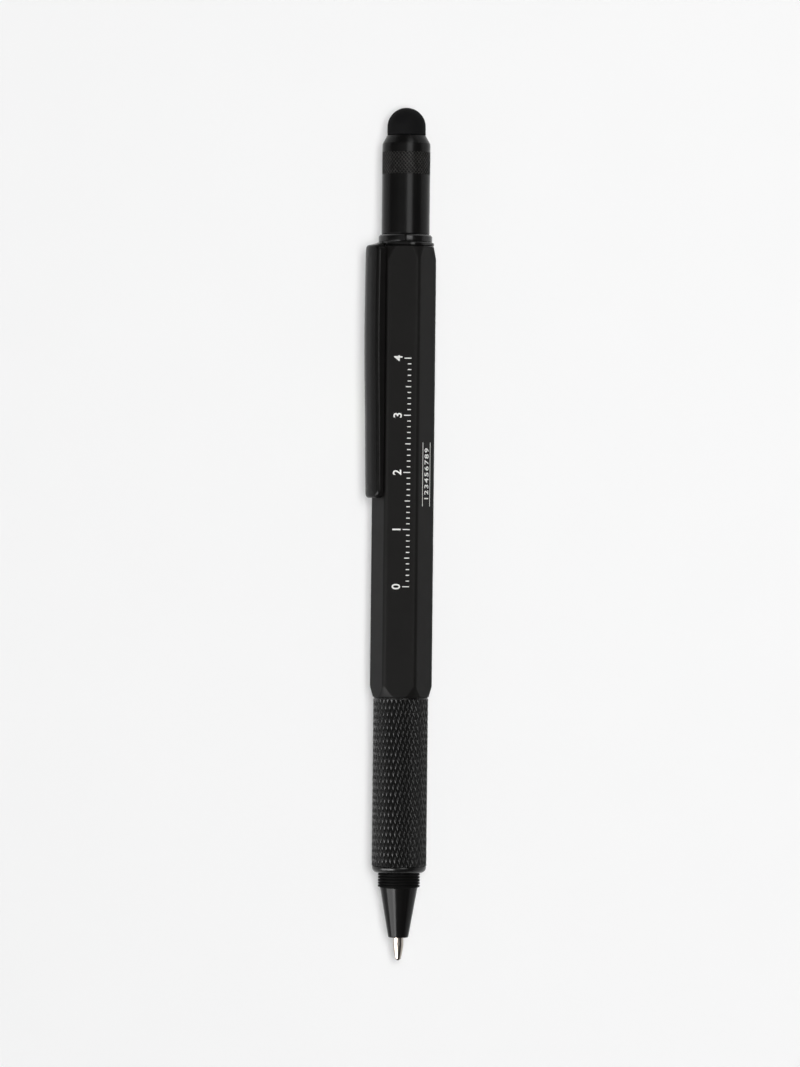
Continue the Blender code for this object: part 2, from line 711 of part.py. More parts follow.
def make_cap(cap_axis):
    """Cap with its knurled band, rubber dome and the core that holds the dome."""
    knurl_top = cap_top - CAP_KNURL_BELOW_TOP
    knurl_bottom = knurl_top - CAP_KNURL_LENGTH
    shoulder_centre = (cap_radius - CAP_SHOULDER_DEPTH, cap_top - CAP_SHOULDER_LENGTH)
    shoulder = arc(shoulder_centre, (CAP_SHOULDER_DEPTH, CAP_SHOULDER_LENGTH), 90, 0, ARC_STEPS)
    above = [(cap_bore, cap_bore_top), (core_bore, cap_bore_top), (core_bore, cap_top)]
    above += shoulder
    above += [(cap_radius, knurl_top + KNURL_MARGIN)]
    below = [(cap_radius, knurl_bottom - KNURL_MARGIN), (cap_radius, cap_bottom), (cap_bore, cap_bottom)]
    band = (cap_radius, CAP_KNURL_DEPTH, knurl_top, knurl_bottom, CAP_KNURL_ROWS)
    knurled("stylus_cap", above, band, below, CAP_DIAMONDS_AROUND, cap_axis, black_coat("stylus_cap"))
    dome_bore = dome_radius - DOME_WALL
    outside = arc((0, dome_centre), (dome_radius, dome_radius), 90, 0, DOME_STEPS)
    inside = arc((0, dome_centre), (dome_bore, dome_bore), 90, 0, DOME_STEPS)
    outer = [(0, outside[0][1])] + outside[1:] + [(dome_radius, dome_bottom), (0, dome_bottom)]
    cavity = [(0, inside[0][1])] + inside[1:]
    cavity += [
        (dome_bore, dome_bottom + DOME_LIP),
        (core_bore, dome_bottom + DOME_LIP),
        (core_bore, dome_bottom - OVERRUN),
        (0, dome_bottom - OVERRUN),
    ]
    dome = turned("stylus_dome", outer, ROUND_SIDES, cap_axis, rubber("stylus_dome"))
    combine(dome, turned("dome_cavity", cavity, INNER_SIDES, cap_axis))
    stem_radius = CORE_STEM_DIAMETER / 2
    flange_radius = dome_bore - FIT_GAP
    core_flange_top = core_flange_bottom + CORE_FLANGE
    core = [
        (0, core_flange_top + CORE_POST_LENGTH),
        (CORE_POST_DIAMETER / 2, core_flange_top + CORE_POST_LENGTH),
        (CORE_POST_DIAMETER / 2, core_flange_top),
        (flange_radius, core_flange_top),
        (flange_radius, core_flange_bottom),
        (stem_radius, core_flange_bottom),
        (stem_radius, cap_top - CORE_STEM_SUNK),
        (0, cap_top - CORE_STEM_SUNK),
    ]
    turned("stylus_core", core, INNER_SIDES, cap_axis, moulding("stylus_core", (0.08, 0.08, 0.08)))


def make_band(barrel):
    """Thin plate clamped under the lock ring, with the tab that carries the clip."""
    outline = rounded_polygon(HEX, apothem - BAND_SET_IN, BAND_CORNER_ROUND)
    hole = circle_outline(band_bore, ROUND_SIDES)
    place = (0, 0, band_bottom + BAND_THICKNESS / 2)
    band = plate("clip_band", [outline, hole], BAND_THICKNESS, barrel, black_coat("clip_band"), place)
    tab_end = apothem + CLIP_EDGE_GAP - SEAM_GAP
    tab_start = (band_bore + apothem) / 2
    reach = (tab_start + tab_end) / 2
    size = (tab_end - tab_start, BAND_TAB_WIDTH, BAND_THICKNESS)
    tab_place = (reach * cos(CLIP_FACE), reach * sin(CLIP_FACE), band_bottom + BAND_THICKNESS / 2)
    combine(band, block("band_tab", size, barrel, None, tab_place, (0, 0, CLIP_FACE)), "UNION")


def clip_height(along, across):
    """Outer face of the clip above its hinge line, at shares of its length and of its half width."""
    face = CLIP_STAND_OFF - CLIP_EDGE_GAP
    bow = CLIP_BOW * sin(pi * min(1, along / CLIP_BOW_SHARE))
    droop = CLIP_DROOP * max(0, 1 - (1 - along) / CLIP_DROOP_SHARE) ** CLIP_DROOP_POWER
    return face + bow - droop - CLIP_CROWN * across ** 2


def clip_ring(inset, drop):
    """Points around the clip, inset from its outline, drop below its outer face (None for its edge)."""
    half_width = CLIP_WIDTH / 2 - inset
    corner = max(CLIP_CORNER_ROUND - inset, CLIP_RIDGE_ROUND)
    near, far = inset, CLIP_LENGTH - inset
    half = [(0, near)]
    for step in range(ARC_STEPS + 1):
        angle = pi / 2 * step / ARC_STEPS
        half.append((half_width - corner + corner * sin(angle), near + corner - corner * cos(angle)))
    for bay in range(1, CLIP_BAYS):
        half.append((half_width, near + corner + (far - near - 2 * corner) * bay / CLIP_BAYS))
    for step in range(ARC_STEPS + 1):
        angle = pi / 2 * step / ARC_STEPS
        half.append((half_width - corner + corner * cos(angle), far - corner + corner * sin(angle)))
    half.append((0, far))
    points = half + [(-across, along) for across, along in half[-2:0:-1]]
    ring = []
    for across, along in points:
        height = 0
        if drop is not None:
            height = clip_height(along / CLIP_LENGTH, across * 2 / CLIP_WIDTH) - drop
        ring.append((height, across, -along))
    return ring


def make_clip(clip_axis):
    """Spring arm of the clip: a pressed channel with rounded edges, open towards the barrel."""
    rings = [clip_ring(0, None), clip_ring(0, CLIP_EDGE_ROUND)]
    for step in range(1, ARC_STEPS):
        angle = pi / 2 * step / ARC_STEPS
        rings.append(clip_ring(CLIP_EDGE_ROUND * (1 - cos(angle)), CLIP_EDGE_ROUND * (1 - sin(angle))))
    rings.append(clip_ring(CLIP_EDGE_ROUND, 0))
    rings.append(clip_ring((CLIP_WIDTH - CLIP_RIDGE_WIDTH) / 2, 0))
    edit = bmesh.new()
    grid = [[edit.verts.new(point) for point in ring] for ring in rings]
    count = len(grid[0])
    for lower, upper in zip(grid, grid[1:]):
        for k in range(count):
            after = (k + 1) % count
            edit.faces.new([lower[k], lower[after], upper[after], upper[k]])
    ridge = grid[-1]
    for k in range(count // 2):
        corners = [ridge[k], ridge[k + 1], ridge[-k - 1], ridge[-k % count]]
        edit.faces.new(list(dict.fromkeys(corners)))
    bmesh.ops.recalc_face_normals(edit, faces=edit.faces)
    mesh = bpy.data.meshes.new("clip_arm")
    edit.to_mesh(mesh)
    edit.free()
    mesh.shade_smooth()
    arm = add_piece("clip_arm", mesh, clip_axis, black_coat("clip_arm"))
    sheet = arm.modifiers.new("sheet", "SOLIDIFY")
    sheet.thickness = CLIP_SHEET
    sheet.offset = -1


def make_grip(grip_axis):
    """Knurled grip with a smooth rounded shoulder at its lower end."""
    knurl_length = GRIP_LENGTH - GRIP_SHOULDER_LENGTH
    rows = 2 * round(knurl_length / GRIP_DIAMOND_HEIGHT)
    knurl_bottom = grip_top - knurl_length
    shoulder_radius = grip_radius - GRIP_SHOULDER_SET_IN
    shoulder_centre = (shoulder_radius - GRIP_SHOULDER_DEPTH, grip_bottom + GRIP_SHOULDER_ROUND)
    shoulder = arc(shoulder_centre, (GRIP_SHOULDER_DEPTH, GRIP_SHOULDER_ROUND), 0, -90, ARC_STEPS)
    above = [(neck_bore, grip_top), (grip_radius - GRIP_KNURL_DEPTH, grip_top)]
    below = shoulder + [(neck_bore, grip_bottom)]
    band = (grip_radius, GRIP_KNURL_DEPTH, grip_top - KNURL_MARGIN, knurl_bottom, rows)
    knurled("grip_sleeve", above, band, below, GRIP_DIAMONDS_AROUND, grip_axis, black_coat("grip_sleeve"))


def make_nose(grip_axis):
    """Nose with its threaded stem, five turned rings and the cone around the refill."""
    stem_radius = neck_bore - FIT_GAP
    ring_radius = NOSE_RING_DIAMETER / 2
    root_radius = ring_radius - NOSE_RING_DEPTH
    bore = refill_radius + NOSE_BORE_GAP
    throat = TIP_NECK_DIAMETER / 2 + NOSE_THROAT_GAP
    profile = [(stem_radius, nose_stem_top), (stem_radius, rings_top)]
    for ring in range(NOSE_RINGS):
        start = rings_top - ring * NOSE_RING_PITCH
        profile.append((root_radius, start))
        profile += [(ring_radius, start - share * NOSE_RING_PITCH) for share in NOSE_RING_LAND_SHARES]
    profile += [(root_radius, cone_top), (CONE_TOP_DIAMETER / 2, cone_top)]
    end_centre = (CONE_END_DIAMETER / 2 - CONE_END_ROUND, nose_end + CONE_END_ROUND)
    profile += arc(end_centre, (CONE_END_ROUND, CONE_END_ROUND), 0, -90, ARC_STEPS - 1)
    profile += [
        (throat, nose_end),
        (throat, nose_end + NOSE_THROAT_LENGTH),
        (bore, nose_end + NOSE_THROAT_LENGTH + (bore - throat)),
        (bore, nose_stem_top),
    ]
    turned("nose_cone", profile, ROUND_SIDES, grip_axis, black_coat("nose_cone"))


def make_cam(grip_axis):
    """Cam sleeve of the twist mechanism, with its helical slot and its friction ring."""
    groove_radius = neck_radius - RING_GROOVE_DEPTH
    groove_half = RING_SECTION / 2 + RING_SIDE_GAP
    step_place = guide_bottom - CAM_STEP_BELOW_GUIDE
    profile = [
        (cam_radius, cam_top),
        (cam_radius, flange_top),
        (bush_radius, flange_top),
        (bush_radius, flange_bottom),
        (neck_radius, flange_bottom),
        (neck_radius, ring_place + groove_half),
        (groove_radius, ring_place + groove_half),
        (groove_radius, ring_place - groove_half),
        (neck_radius, ring_place - groove_half),
        (neck_radius, cam_bottom),
        (cam_stem_bore, cam_bottom),
        (cam_stem_bore, step_place),
        (cam_bore, step_place),
        (cam_bore, cam_top),
    ]
    cam = turned("cam_sleeve", profile, INNER_SIDES, grip_axis, brass("cam_sleeve"))
    middle = (cam_bore + cam_radius) / 2
    path = []
    for step in range(SLOT_STEPS + 1):
        turn = -SLOT_SPARE_TURN + (TWIST + 2 * SLOT_SPARE_TURN) * step / SLOT_STEPS
        angle = PIN_DIRECTION - turn
        path.append((middle * cos(angle), middle * sin(angle), pin_place + TRAVEL * turn / TWIST))
    combine(cam, rod_along("helical_slot", path, SLOT_WIDTH / 2, grip_axis))
    ring_radius = groove_radius + RING_GAP + RING_SECTION / 2
    section = arc((ring_radius, ring_place), (RING_SECTION / 2, RING_SECTION / 2), 90, 90 - 360, RING_STEPS)
    turned("twist_o_ring", section[:-1], INNER_SIDES, grip_axis, rubber("twist_o_ring"))


def make_guide(barrel):
    """Fixed parts of the twist mechanism: guide tube with its straight slot, and the bush."""
    profile = [
        (seat_radius, guide_top),
        (seat_radius, guide_top - GUIDE_FLANGE),
        (guide_radius, guide_top - GUIDE_FLANGE),
        (guide_radius, guide_bottom),
        (guide_bore, guide_bottom),
        (guide_bore, guide_top),
    ]
    guide = turned("guide_tube", profile, INNER_SIDES, barrel, brass("guide_tube"))
    middle = (guide_bore + guide_radius) / 2
    place = (middle * cos(PIN_DIRECTION), middle * sin(PIN_DIRECTION), pin_place + TRAVEL / 2)
    outline = slot_outline(TRAVEL + 2 * SLOT_WIDTH, SLOT_WIDTH)
    depth = GUIDE_WALL + 2 * OVERRUN
    slot = plate("straight_slot", [outline], depth, barrel, None, place, (0, pi / 2, PIN_DIRECTION))
    combine(guide, slot)
    bush = [
        (bush_radius, bush_top),
        (bush_radius, bush_bottom),
        (neck_bore, bush_bottom),
        (neck_bore, bush_top),
    ]
    turned("barrel_bush", bush, INNER_SIDES, barrel, brass("barrel_bush"))


def make_refill(refill_axis):
    """Refill with its ball, pushed into the carrier, whose cross pin runs in both slots."""
    neck = TIP_NECK_DIAMETER / 2
    taper = [(neck * width, TIP_TAPER_LENGTH * rise) for rise, width in TIP_TAPER_SHARES]
    body_bottom = nose_end + TIP_SHOULDER_LENGTH
    body_top = body_bottom + TIP_BODY_LENGTH
    tube_bottom = body_top + SEAM_GAP
    tube_bore = refill_radius - REFILL_WALL
    plug_radius = tube_bore - FIT_GAP
    ball = BALL_DIAMETER / 2
    pocket = ball + BALL_GAP
    rim_bottom = BALL_SHOWING
    tip = [
        (plug_radius, body_top + TIP_PLUG_LENGTH),
        (plug_radius, body_top),
        (refill_radius, body_top),
        (refill_radius, body_bottom),
        (neck, nose_end),
        *taper,
        ((taper[-1][0] + pocket) / 2, rim_bottom),
        (pocket, rim_bottom),
        (pocket, BALL_DIAMETER),
        (INK_BORE, BALL_DIAMETER + BALL_GAP),
        (INK_BORE, body_top + TIP_PLUG_LENGTH),
    ]
    turned("refill_tip", tip, INNER_SIDES, refill_axis, steel("refill_tip"))
    ball_profile = pinned_to_axis(arc((0, ball), (ball, ball), 90, -90, DOME_STEPS - 1))
    turned("refill_ball", ball_profile, SMALL_SIDES, refill_axis, steel("refill_ball"))
    tube = [
        (refill_radius, REFILL_LENGTH),
        (refill_radius, tube_bottom),
        (tube_bore, tube_bottom),
        (tube_bore, REFILL_LENGTH),
    ]
    turned("refill_tube", tube, INNER_SIDES, refill_axis, brass("refill_tube"))
    paint = moulding("refill_carrier", (0.7, 0.7, 0.68))
    ends = (carrier_top, carrier_bottom)
    carrier = cylinder("refill_carrier", carrier_radius, *ends, INNER_SIDES, refill_axis, paint)
    ends = (cup_floor, carrier_bottom - OVERRUN)
    combine(carrier, cylinder("carrier_cup", cup_radius, *ends, INNER_SIDES, refill_axis))
    pin_radius = PIN_DIAMETER / 2
    hole_start = -PIN_PAST_AXIS - FIT_GAP
    hole_end = carrier_radius + OVERRUN
    combine(carrier, cross_rod("pin_hole", pin_radius + PIN_GAP, hole_start, hole_end, refill_axis))
    cross_rod("cam_pin", pin_radius, -PIN_PAST_AXIS, cam_radius - PIN_SUNK, refill_axis, steel("cam_pin"))


def cross_rod(name, radius, start, end, parent, material=None):
    """Round rod square to the pen's axis at the pin's place, from start to end along its direction."""
    ends = [
        (reach * cos(PIN_DIRECTION), reach * sin(PIN_DIRECTION), pin_place)
        for reach in (start, end)
    ]
    return rod_along(name, ends, radius, parent, material)


def main():
    clear_scene()
    # turned so that the pen's axis lies along +Y, at the height of the flats
    barrel = axis_empty("pen_axis", None, (0, -barrel_middle, apothem), (-pi / 2, 0, 0))
    grip_axis = axis_empty("grip_twist_axis", barrel)
    refill_axis = axis_empty("refill_slide_axis", barrel)
    cap_axis = axis_empty("cap_off_axis", barrel)
    bit_axis = axis_empty("bit_pull_axis", barrel)
    bubble_axis = axis_empty("bubble_travel_axis", barrel)
    root_reach = apothem + CLIP_EDGE_GAP
    root = (root_reach * cos(CLIP_FACE), root_reach * sin(CLIP_FACE), clip_top)
    clip_axis = axis_empty("clip_flex_axis", barrel, root, (0, 0, CLIP_FACE))
    make_barrel(barrel)
    make_guide(barrel)
    make_level(barrel, bubble_axis)
    make_holder(barrel)
    make_band(barrel)
    make_clip(clip_axis)
    make_grip(grip_axis)
    make_cam(grip_axis)
    make_nose(grip_axis)
    make_refill(refill_axis)
    make_cap(cap_axis)
    make_bit(bit_axis)
    bpy.context.view_layer.update()


if __name__ == "__main__":
    main()
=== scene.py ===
"""Looks of a multi tool pen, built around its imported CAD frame.

Fine shapes stand for the plain CAD solids: turned and knurled grip, turned nose and cap, pressed
clip, split lock ring, threaded bit holder, bit, bubble level and printed scale. Lengths are in
metres, in the frame of the CAD: the pen lies along Y, stylus towards +Y, front flat up.
"""

from math import atan2, cos, hypot, pi, radians, sin, tan

import bmesh
import bpy
from mathutils import Matrix, Vector


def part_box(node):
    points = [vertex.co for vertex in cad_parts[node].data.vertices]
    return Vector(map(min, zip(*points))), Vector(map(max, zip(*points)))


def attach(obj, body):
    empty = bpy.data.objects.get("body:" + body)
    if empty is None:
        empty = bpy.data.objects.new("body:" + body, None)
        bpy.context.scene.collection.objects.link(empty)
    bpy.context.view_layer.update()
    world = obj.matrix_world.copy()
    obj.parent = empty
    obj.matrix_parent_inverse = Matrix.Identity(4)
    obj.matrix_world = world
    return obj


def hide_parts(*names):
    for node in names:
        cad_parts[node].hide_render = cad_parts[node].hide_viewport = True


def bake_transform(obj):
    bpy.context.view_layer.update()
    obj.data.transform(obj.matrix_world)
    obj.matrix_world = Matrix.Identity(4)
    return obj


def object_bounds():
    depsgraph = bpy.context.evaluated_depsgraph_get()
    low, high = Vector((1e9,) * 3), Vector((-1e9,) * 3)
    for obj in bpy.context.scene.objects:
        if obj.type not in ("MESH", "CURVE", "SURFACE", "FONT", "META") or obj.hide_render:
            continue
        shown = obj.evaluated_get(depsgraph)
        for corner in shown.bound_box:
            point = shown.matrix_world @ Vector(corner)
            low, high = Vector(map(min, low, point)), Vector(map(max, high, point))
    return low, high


bl_info = {
    "name": "Multi tool pen",
    "version": (1, 0, 0),
    "blender": (4, 5, 0),
    "location": "View3D > Sidebar > Pen",
    "description": "Fine shapes and finishes of a multi tool pen around its CAD frame",
    "category": "Object",
}

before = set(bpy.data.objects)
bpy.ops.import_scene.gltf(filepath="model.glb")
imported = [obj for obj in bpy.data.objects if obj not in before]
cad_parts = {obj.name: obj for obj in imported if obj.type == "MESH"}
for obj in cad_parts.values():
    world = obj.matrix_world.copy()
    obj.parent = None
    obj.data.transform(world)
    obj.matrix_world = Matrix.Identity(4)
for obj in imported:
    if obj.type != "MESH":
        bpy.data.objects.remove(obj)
cad_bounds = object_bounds()

# Counts of the meshes
TURNING_SIDES = 128
SMALL_SIDES = 48
ROUND_STEPS = 4
CORNER_STEPS = 10
FLAT_STEPS = 16
ARC_STEPS = 8  # of the window's and the clip's quarter turns
CLIP_BAYS = 20
CLIP_EDGE_STEPS = 6
CLIP_CROWN_STEPS = 3
THREAD_STEPS = 10  # rows of a thread's pitch
HEX = 6  # sides of the barrel, the bit and its socket

# Layers of a knurl's diamond: share of the way to its corners, share of the knurls' depth
POINTED_DIAMOND = ((1, 1), (0.54, 0.16), (0.27, 0.02))
SUNK_DIAMOND = ((1, 0), (0.86, 0), (0.4, 1))

# Small lengths and shares that many pieces use
WELD = 0.000001
FINE_WELD = 0.0000001  # for the corners of type and of cuts
SMALL_ROUND = 0.00004
EDGE_ROUND = 0.00007
SOFT_ROUND = 0.00012
CHAMFER = 0.0003
ROUND_MIDDLE = 0.3  # inset at the middle of a rounding's arc, as a share of its radius
WELL = 0.00004  # step between a knurled band and its rim
OVERRUN = 0.001  # how far a cutter stands past what it cuts
FLANK = 1.35  # steepness of a thread's flanks
CORNER_SHARE = 1 / cos(pi / HEX)  # reach of a hexagon's corner over that of its flat
SHARP_ANGLE = radians(42)

# Directions around the pen's axis, from +X towards +Z
FRONT_FACE = radians(90)
RIGHT_FACE = radians(30)
CLIP_FACE = radians(150)
LEVEL_FACE = radians(210)
RING_SPLIT = radians(86)


def outwards(angle):
    """Direction away from the pen's axis."""
    return Vector((cos(angle), 0, sin(angle)))


def sideways(angle):
    """Direction around the pen's axis."""
    return Vector((-sin(angle), 0, cos(angle)))


def polar(node):
    """(radius, place) of a CAD node's corners, around and along the pen's axis."""
    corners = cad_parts[node].data.vertices
    return [(hypot(v.co.x, v.co.z - axis_height), v.co.y) for v in corners]


def span(node):
    """Lowest and highest place of a CAD node along the pen."""
    low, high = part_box(node)
    return low.y, high.y


def reach(node):
    """Largest radius of a CAD node."""
    return max(radius for radius, place in polar(node))


def bore(node):
    """Smallest radius of a CAD node."""
    return min(radius for radius, place in polar(node))


def radii_at(node, place):
    """Smallest and largest radius of a CAD node at a place."""
    radii = [radius for radius, along in polar(node) if abs(along - place) < WELD]
    return min(radii), max(radii)


def places_at(node, radius):
    """Lowest and highest place of a CAD node's corners at a radius."""
    places = [place for around, place in polar(node) if abs(around - radius) < WELD]
    return min(places), max(places)


# Places and radii of the CAD frame
barrel_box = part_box("hex_barrel")
axis_height = (barrel_box[0].z + barrel_box[1].z) / 2
axis = Vector((0, 0, axis_height))
apothem = axis_height
corner_reach = barrel_box[1].x
tip_place = cad_bounds[0].y
barrel_bottom, barrel_top = span("hex_barrel")
lower_bore = bore("hex_barrel")
upper_bore = radii_at("hex_barrel", barrel_top)[0]
mouth_radius = radii_at("hex_barrel", barrel_bottom)[0]
ledge_place = places_at("hex_barrel", upper_bore)[0]
mouth_top = places_at("hex_barrel", mouth_radius)[1]
grip_bottom, grip_top = span("grip_sleeve")
grip_radius, grip_bore = reach("grip_sleeve"), bore("grip_sleeve")
nose_end, nose_stem_top = span("nose_cone")
nose_bore, nose_stem = radii_at("nose_cone", nose_stem_top)
tip_bottom, tip_top = span("refill_tip")
refill_radius = reach("refill_tip")
ball_bottom, ball_top = span("refill_ball")
tube_bottom = span("refill_tube")[0]
ring_bottom, ring_top = span("lock_ring")
ring_radius = reach("lock_ring")
holder_bottom, stub_top = span("bit_holder")
stub_radius = max(radius for radius, place in polar("bit_holder") if place > ring_top)
seat_radius = reach("bit_holder")
band_bottom, band_top = span("clip_band")
band_bore = bore("clip_band")
clip_bottom, clip_top = span("clip_arm")
clip_length = clip_top - clip_bottom
clip_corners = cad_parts["clip_arm"].data.vertices
clip_root = min((corner.co - axis).dot(outwards(CLIP_FACE)) for corner in clip_corners)
cap_bottom, cap_top = span("stylus_cap")
cap_radius, core_bore = reach("stylus_cap"), bore("stylus_cap")
cap_bore = radii_at("stylus_cap", cap_bottom)[0]
cap_bore_top = places_at("stylus_cap", cap_bore)[1]
dome_bottom, dome_top = span("stylus_dome")
dome_radius = reach("stylus_dome")
bit_bottom, bit_top = span("screwdriver_bit")
bit_radius = reach("screwdriver_bit")
magnet_bottom, magnet_top = span("bit_magnet")
magnet_radius = reach("bit_magnet")
vial_bottom, vial_top = span("level_vial")
vial_radius = reach("level_vial")
vial_bore = radii_at("level_vial", vial_top)[0]
vial_floor = places_at("level_vial", vial_bore)[0]
plug_bottom = span("level_plug")[0]
bubble_bottom, bubble_top = span("level_bubble")
bubble_radius = reach("level_bubble")
bubble_place = (bubble_bottom + bubble_top) / 2


def length(name, description, default):
    """Length property in metres."""
    return bpy.props.FloatProperty(
        name=name, description=description, default=default, min=0, unit="LENGTH", precision=5
    )


def colour(name, description, default):
    """Colour property."""
    return bpy.props.FloatVectorProperty(
        name=name, description=description, default=default, size=3, min=0, max=1, subtype="COLOR"
    )


def tilt(name, description, default):
    """Angle property."""
    return bpy.props.FloatProperty(name=name, description=description, default=default, subtype="ANGLE")


def share(name, description, default):
    """Property from 0 to 1."""
    return bpy.props.FloatProperty(
        name=name, description=description, default=default, min=0, max=1, subtype="FACTOR"
    )


def radiance(name, description, default):
    """Radiance property; 1 shows as white."""
    return bpy.props.FloatProperty(name=name, description=description, default=default, min=0)


def count(name, description, default):
    """Whole number property."""
    return bpy.props.IntProperty(name=name, description=description, default=default, min=1)


class PenSizes(bpy.types.PropertyGroup):
    """Sizes of the fine shapes that the CAD frame doesn't give."""

    corner_round: length("Corner rounding", "Rounding of the barrel's six corners", 0.00099)
    top_chamfer: length("Top chamfer", "Length of the barrel's upper chamfer", 0.0023)
    top_depth: length("Top chamfer depth", "How deep it is turned into the corners", 0.00041)
    bottom_chamfer: length("Bottom chamfer", "Length of the barrel's lower chamfer", 0.0019)
    bottom_depth: length("Bottom chamfer depth", "How deep it is turned into the corners", 0.00053)
    window_length: length("Window length", "Slot in front of the bubble level", 0.0125)
    window_width: length("Window width", "Slot in front of the bubble level", 0.0034)
    grip_diamonds: count("Grip diamonds", "Diamonds around the grip", 36)
    grip_rows: count("Grip half rows", "Half rows of diamonds along the grip", 25)
    grip_depth: length("Grip knurl depth", "Depth of the grip's grooves", 0.00028)
    rim_step: length("Rim step", "How far the grip's upper rim stands back", 0.00006)
    rim_gap: length("Rim gap", "Gap between the grip's rim and the barrel", 0.00003)
    grip_shoulder: length("Grip shoulder", "Length of the smooth ring under the knurls", 0.00122)
    cap_diamonds: count("Cap diamonds", "Diamonds around the cap's band", 43)
    cap_rows: count("Cap half rows", "Half rows of diamonds along the cap's band", 11)
    cap_depth: length("Cap knurl depth", "Depth of the fine knurls", 0.00008)
    cap_top_diameter: length("Cap top", "Diameter of the cap around its dome", 0.00684)
    cap_shoulder: length("Cap shoulder", "Length of the cone at the cap's top", 0.00141)
    cone_length: length("Cone length", "Length of the nose cone", 0.00879)
    cone_top_diameter: length("Cone top", "Diameter of the cone under its rings", 0.0066)
    cone_end_diameter: length("Cone end", "Diameter of the cone around the writing tip", 0.0035)
    nose_rings: count("Nose rings", "Turned rings above the cone", 5)
    nose_ring_pitch: length("Nose ring pitch", "Distance from ring to ring", 0.000504)
    nose_ring_diameter: length("Nose ring diameter", "Diameter over the rings", 0.00735)
    nose_ring_depth: length("Nose ring depth", "Depth of the grooves between them", 0.00032)
    thread_pitch: length("Thread pitch", "Pitch of the cap's thread", 0.00075)
    thread_depth: length("Thread depth", "Depth of the cap's thread", 0.0003)
    clip_width: length("Clip width", "Width of the pressed arm", 0.0053)
    clip_sheet: length("Clip sheet", "Thickness of the clip's steel", 0.0005)
    mark_height: length("Mark height", "Width of the printed scale", 0.0031)
    mark_relief: length("Mark relief", "How far the ink stands above the flat", 0.000012)


class PenColours(bpy.types.PropertyGroup):
    """Colours of the finishes."""

    anodised: colour("Anodised black", "Barrel and bit holder", (0.0062, 0.0059, 0.0056))
    turned_black: colour("Turned black", "Cap, ring, grip and nose", (0.0044, 0.0043, 0.0042))
    worn_edge: colour("Worn edge", "Where handling thins the black", (0.05, 0.048, 0.046))
    clip_black: colour("Clip black", "Coated spring steel", (0.0056, 0.0054, 0.0052))
    # Worn edge lightens the grip's knurl tops as wear; brighter on the cap's knurls, it is partly painted
    # highlight on the ridges.
    rubber: colour("Rubber", "Stylus dome", (0.0058, 0.0058, 0.0061))
    dust: colour("Dust", "Specks on the rubber", (0.09, 0.09, 0.09))
    steel: colour("Steel", "Bit, magnet and pin", (0.62, 0.60, 0.57))
    tip_steel: colour("Tip steel", "Writing tip", (0.47, 0.425, 0.38))
    brass: colour("Brass", "Twist mechanism and ink tube", (0.62, 0.43, 0.17))
    ink: colour("Ink", "Printed marks", (0.80, 0.80, 0.78))
    plastic: colour("Plastic", "Level holder and plug", (0.02, 0.02, 0.02))
    natural: colour("Natural plastic", "Refill carrier", (0.62, 0.61, 0.56))
    vial: colour("Vial", "Clear plastic of the level", (0.95, 0.97, 0.9))
    # The liquid's and the bubble's colours also colour their painted glow.
    liquid: colour("Liquid", "Liquid of the level", (0.55, 0.78, 0.06))
    bubble: colour("Bubble", "Air in the level's liquid", (0.93, 0.97, 0.72))
    floor: colour("Floor", "Surface under the pen", (0.606, 0.606, 0.606))
    fibre: colour("Floor fibres", "Paler clouds in the floor", (0.9, 0.9, 0.9))


class PenStage(bpy.types.PropertyGroup):
    """Camera and light."""

    distance: length("Camera distance", "From the camera to the pen's axis", 0.88)
    view_height: length("View height", "Height of the picture at the pen", 0.18774)
    view_place: length("View place", "Place of the picture's middle above the writing tip", 0.0751)
    view_side: length("View side", "How far the pen's axis is right of the middle", 0.00042)
    roll: tilt("Roll", "Camera's angle off the front flat", radians(3.6))
    lean: tilt("Lean", "Pen's lean in the picture", radians(0.6))
    key: radiance("Key lamp", "Radiance of the lamp that lights the floor and casts the shadow", 19.8)
    sheen_key: radiance("Sheen of the key", "Radiance that gloss sees on the right", 4.6)
    sheen_end: radiance("Sheen from the far end", "Radiance that gloss sees beyond the stylus", 4.5)
    sheen_side: radiance("Sheen from the side", "Radiance that gloss sees at the lower left", 9)
    sheen_strip: radiance("Bright strip", "Radiance that the side's inner edge adds", 6.5)
    fill: share("Fill", "Even light from all sides", 0.08)
    overhead: share("Overhead", "What gloss sees straight above", 0.35)
    low_walls: share("Walls", "What gloss sees between the horizon and the ceiling", 0.06)
    floor_lift: share("Floor lift", "Share of white that the floor shows on its own", 0.34)
    far_lift: share("Far floor lift", "The same far from the pen, where the lamps fade", 0.85)


def sizes():
    """Sizes of the scene."""
    return bpy.context.scene.pen_sizes


def colours():
    """Colours of the scene."""
    return bpy.context.scene.pen_colours


# Meshes


def spot(radius, angle, place):
    """Point at a radius and an angle around the pen's axis, at a place along it."""
    return Vector((radius * cos(angle), place, axis_height + radius * sin(angle)))


def circle(radius, place, sides=TURNING_SIDES):
    """Points around the pen's axis."""
    return [spot(radius, 2 * pi * k / sides, place) for k in range(sides)]


def level_ring(outline, place):
    """Flat (across, up) outline as points at a place along the pen."""
    return [Vector((across, place, axis_height + up)) for across, up in outline]


def rounded(corners, closed=True):
    """Outline through (across, along, rounding) corners, with an arc at each one that has a rounding."""
    points = []
    for k, (across, along, rounding) in enumerate(corners):
        here = Vector((across, along))
        if rounding == 0 or (not closed and k in (0, len(corners) - 1)):
            points.append(tuple(here))
            continue
        before = (Vector(corners[k - 1][:2]) - here).normalized()
        after = (Vector(corners[(k + 1) % len(corners)][:2]) - here).normalized()
        half = before.angle(after) / 2
        centre = here + (before + after).normalized() * rounding / sin(half)
        start = here + before * rounding / tan(half) - centre
        end = here + after * rounding / tan(half) - centre
        for step in range(ROUND_STEPS + 1):
            points.append(tuple(centre + start.slerp(end, step / ROUND_STEPS).normalized() * rounding))
    return points


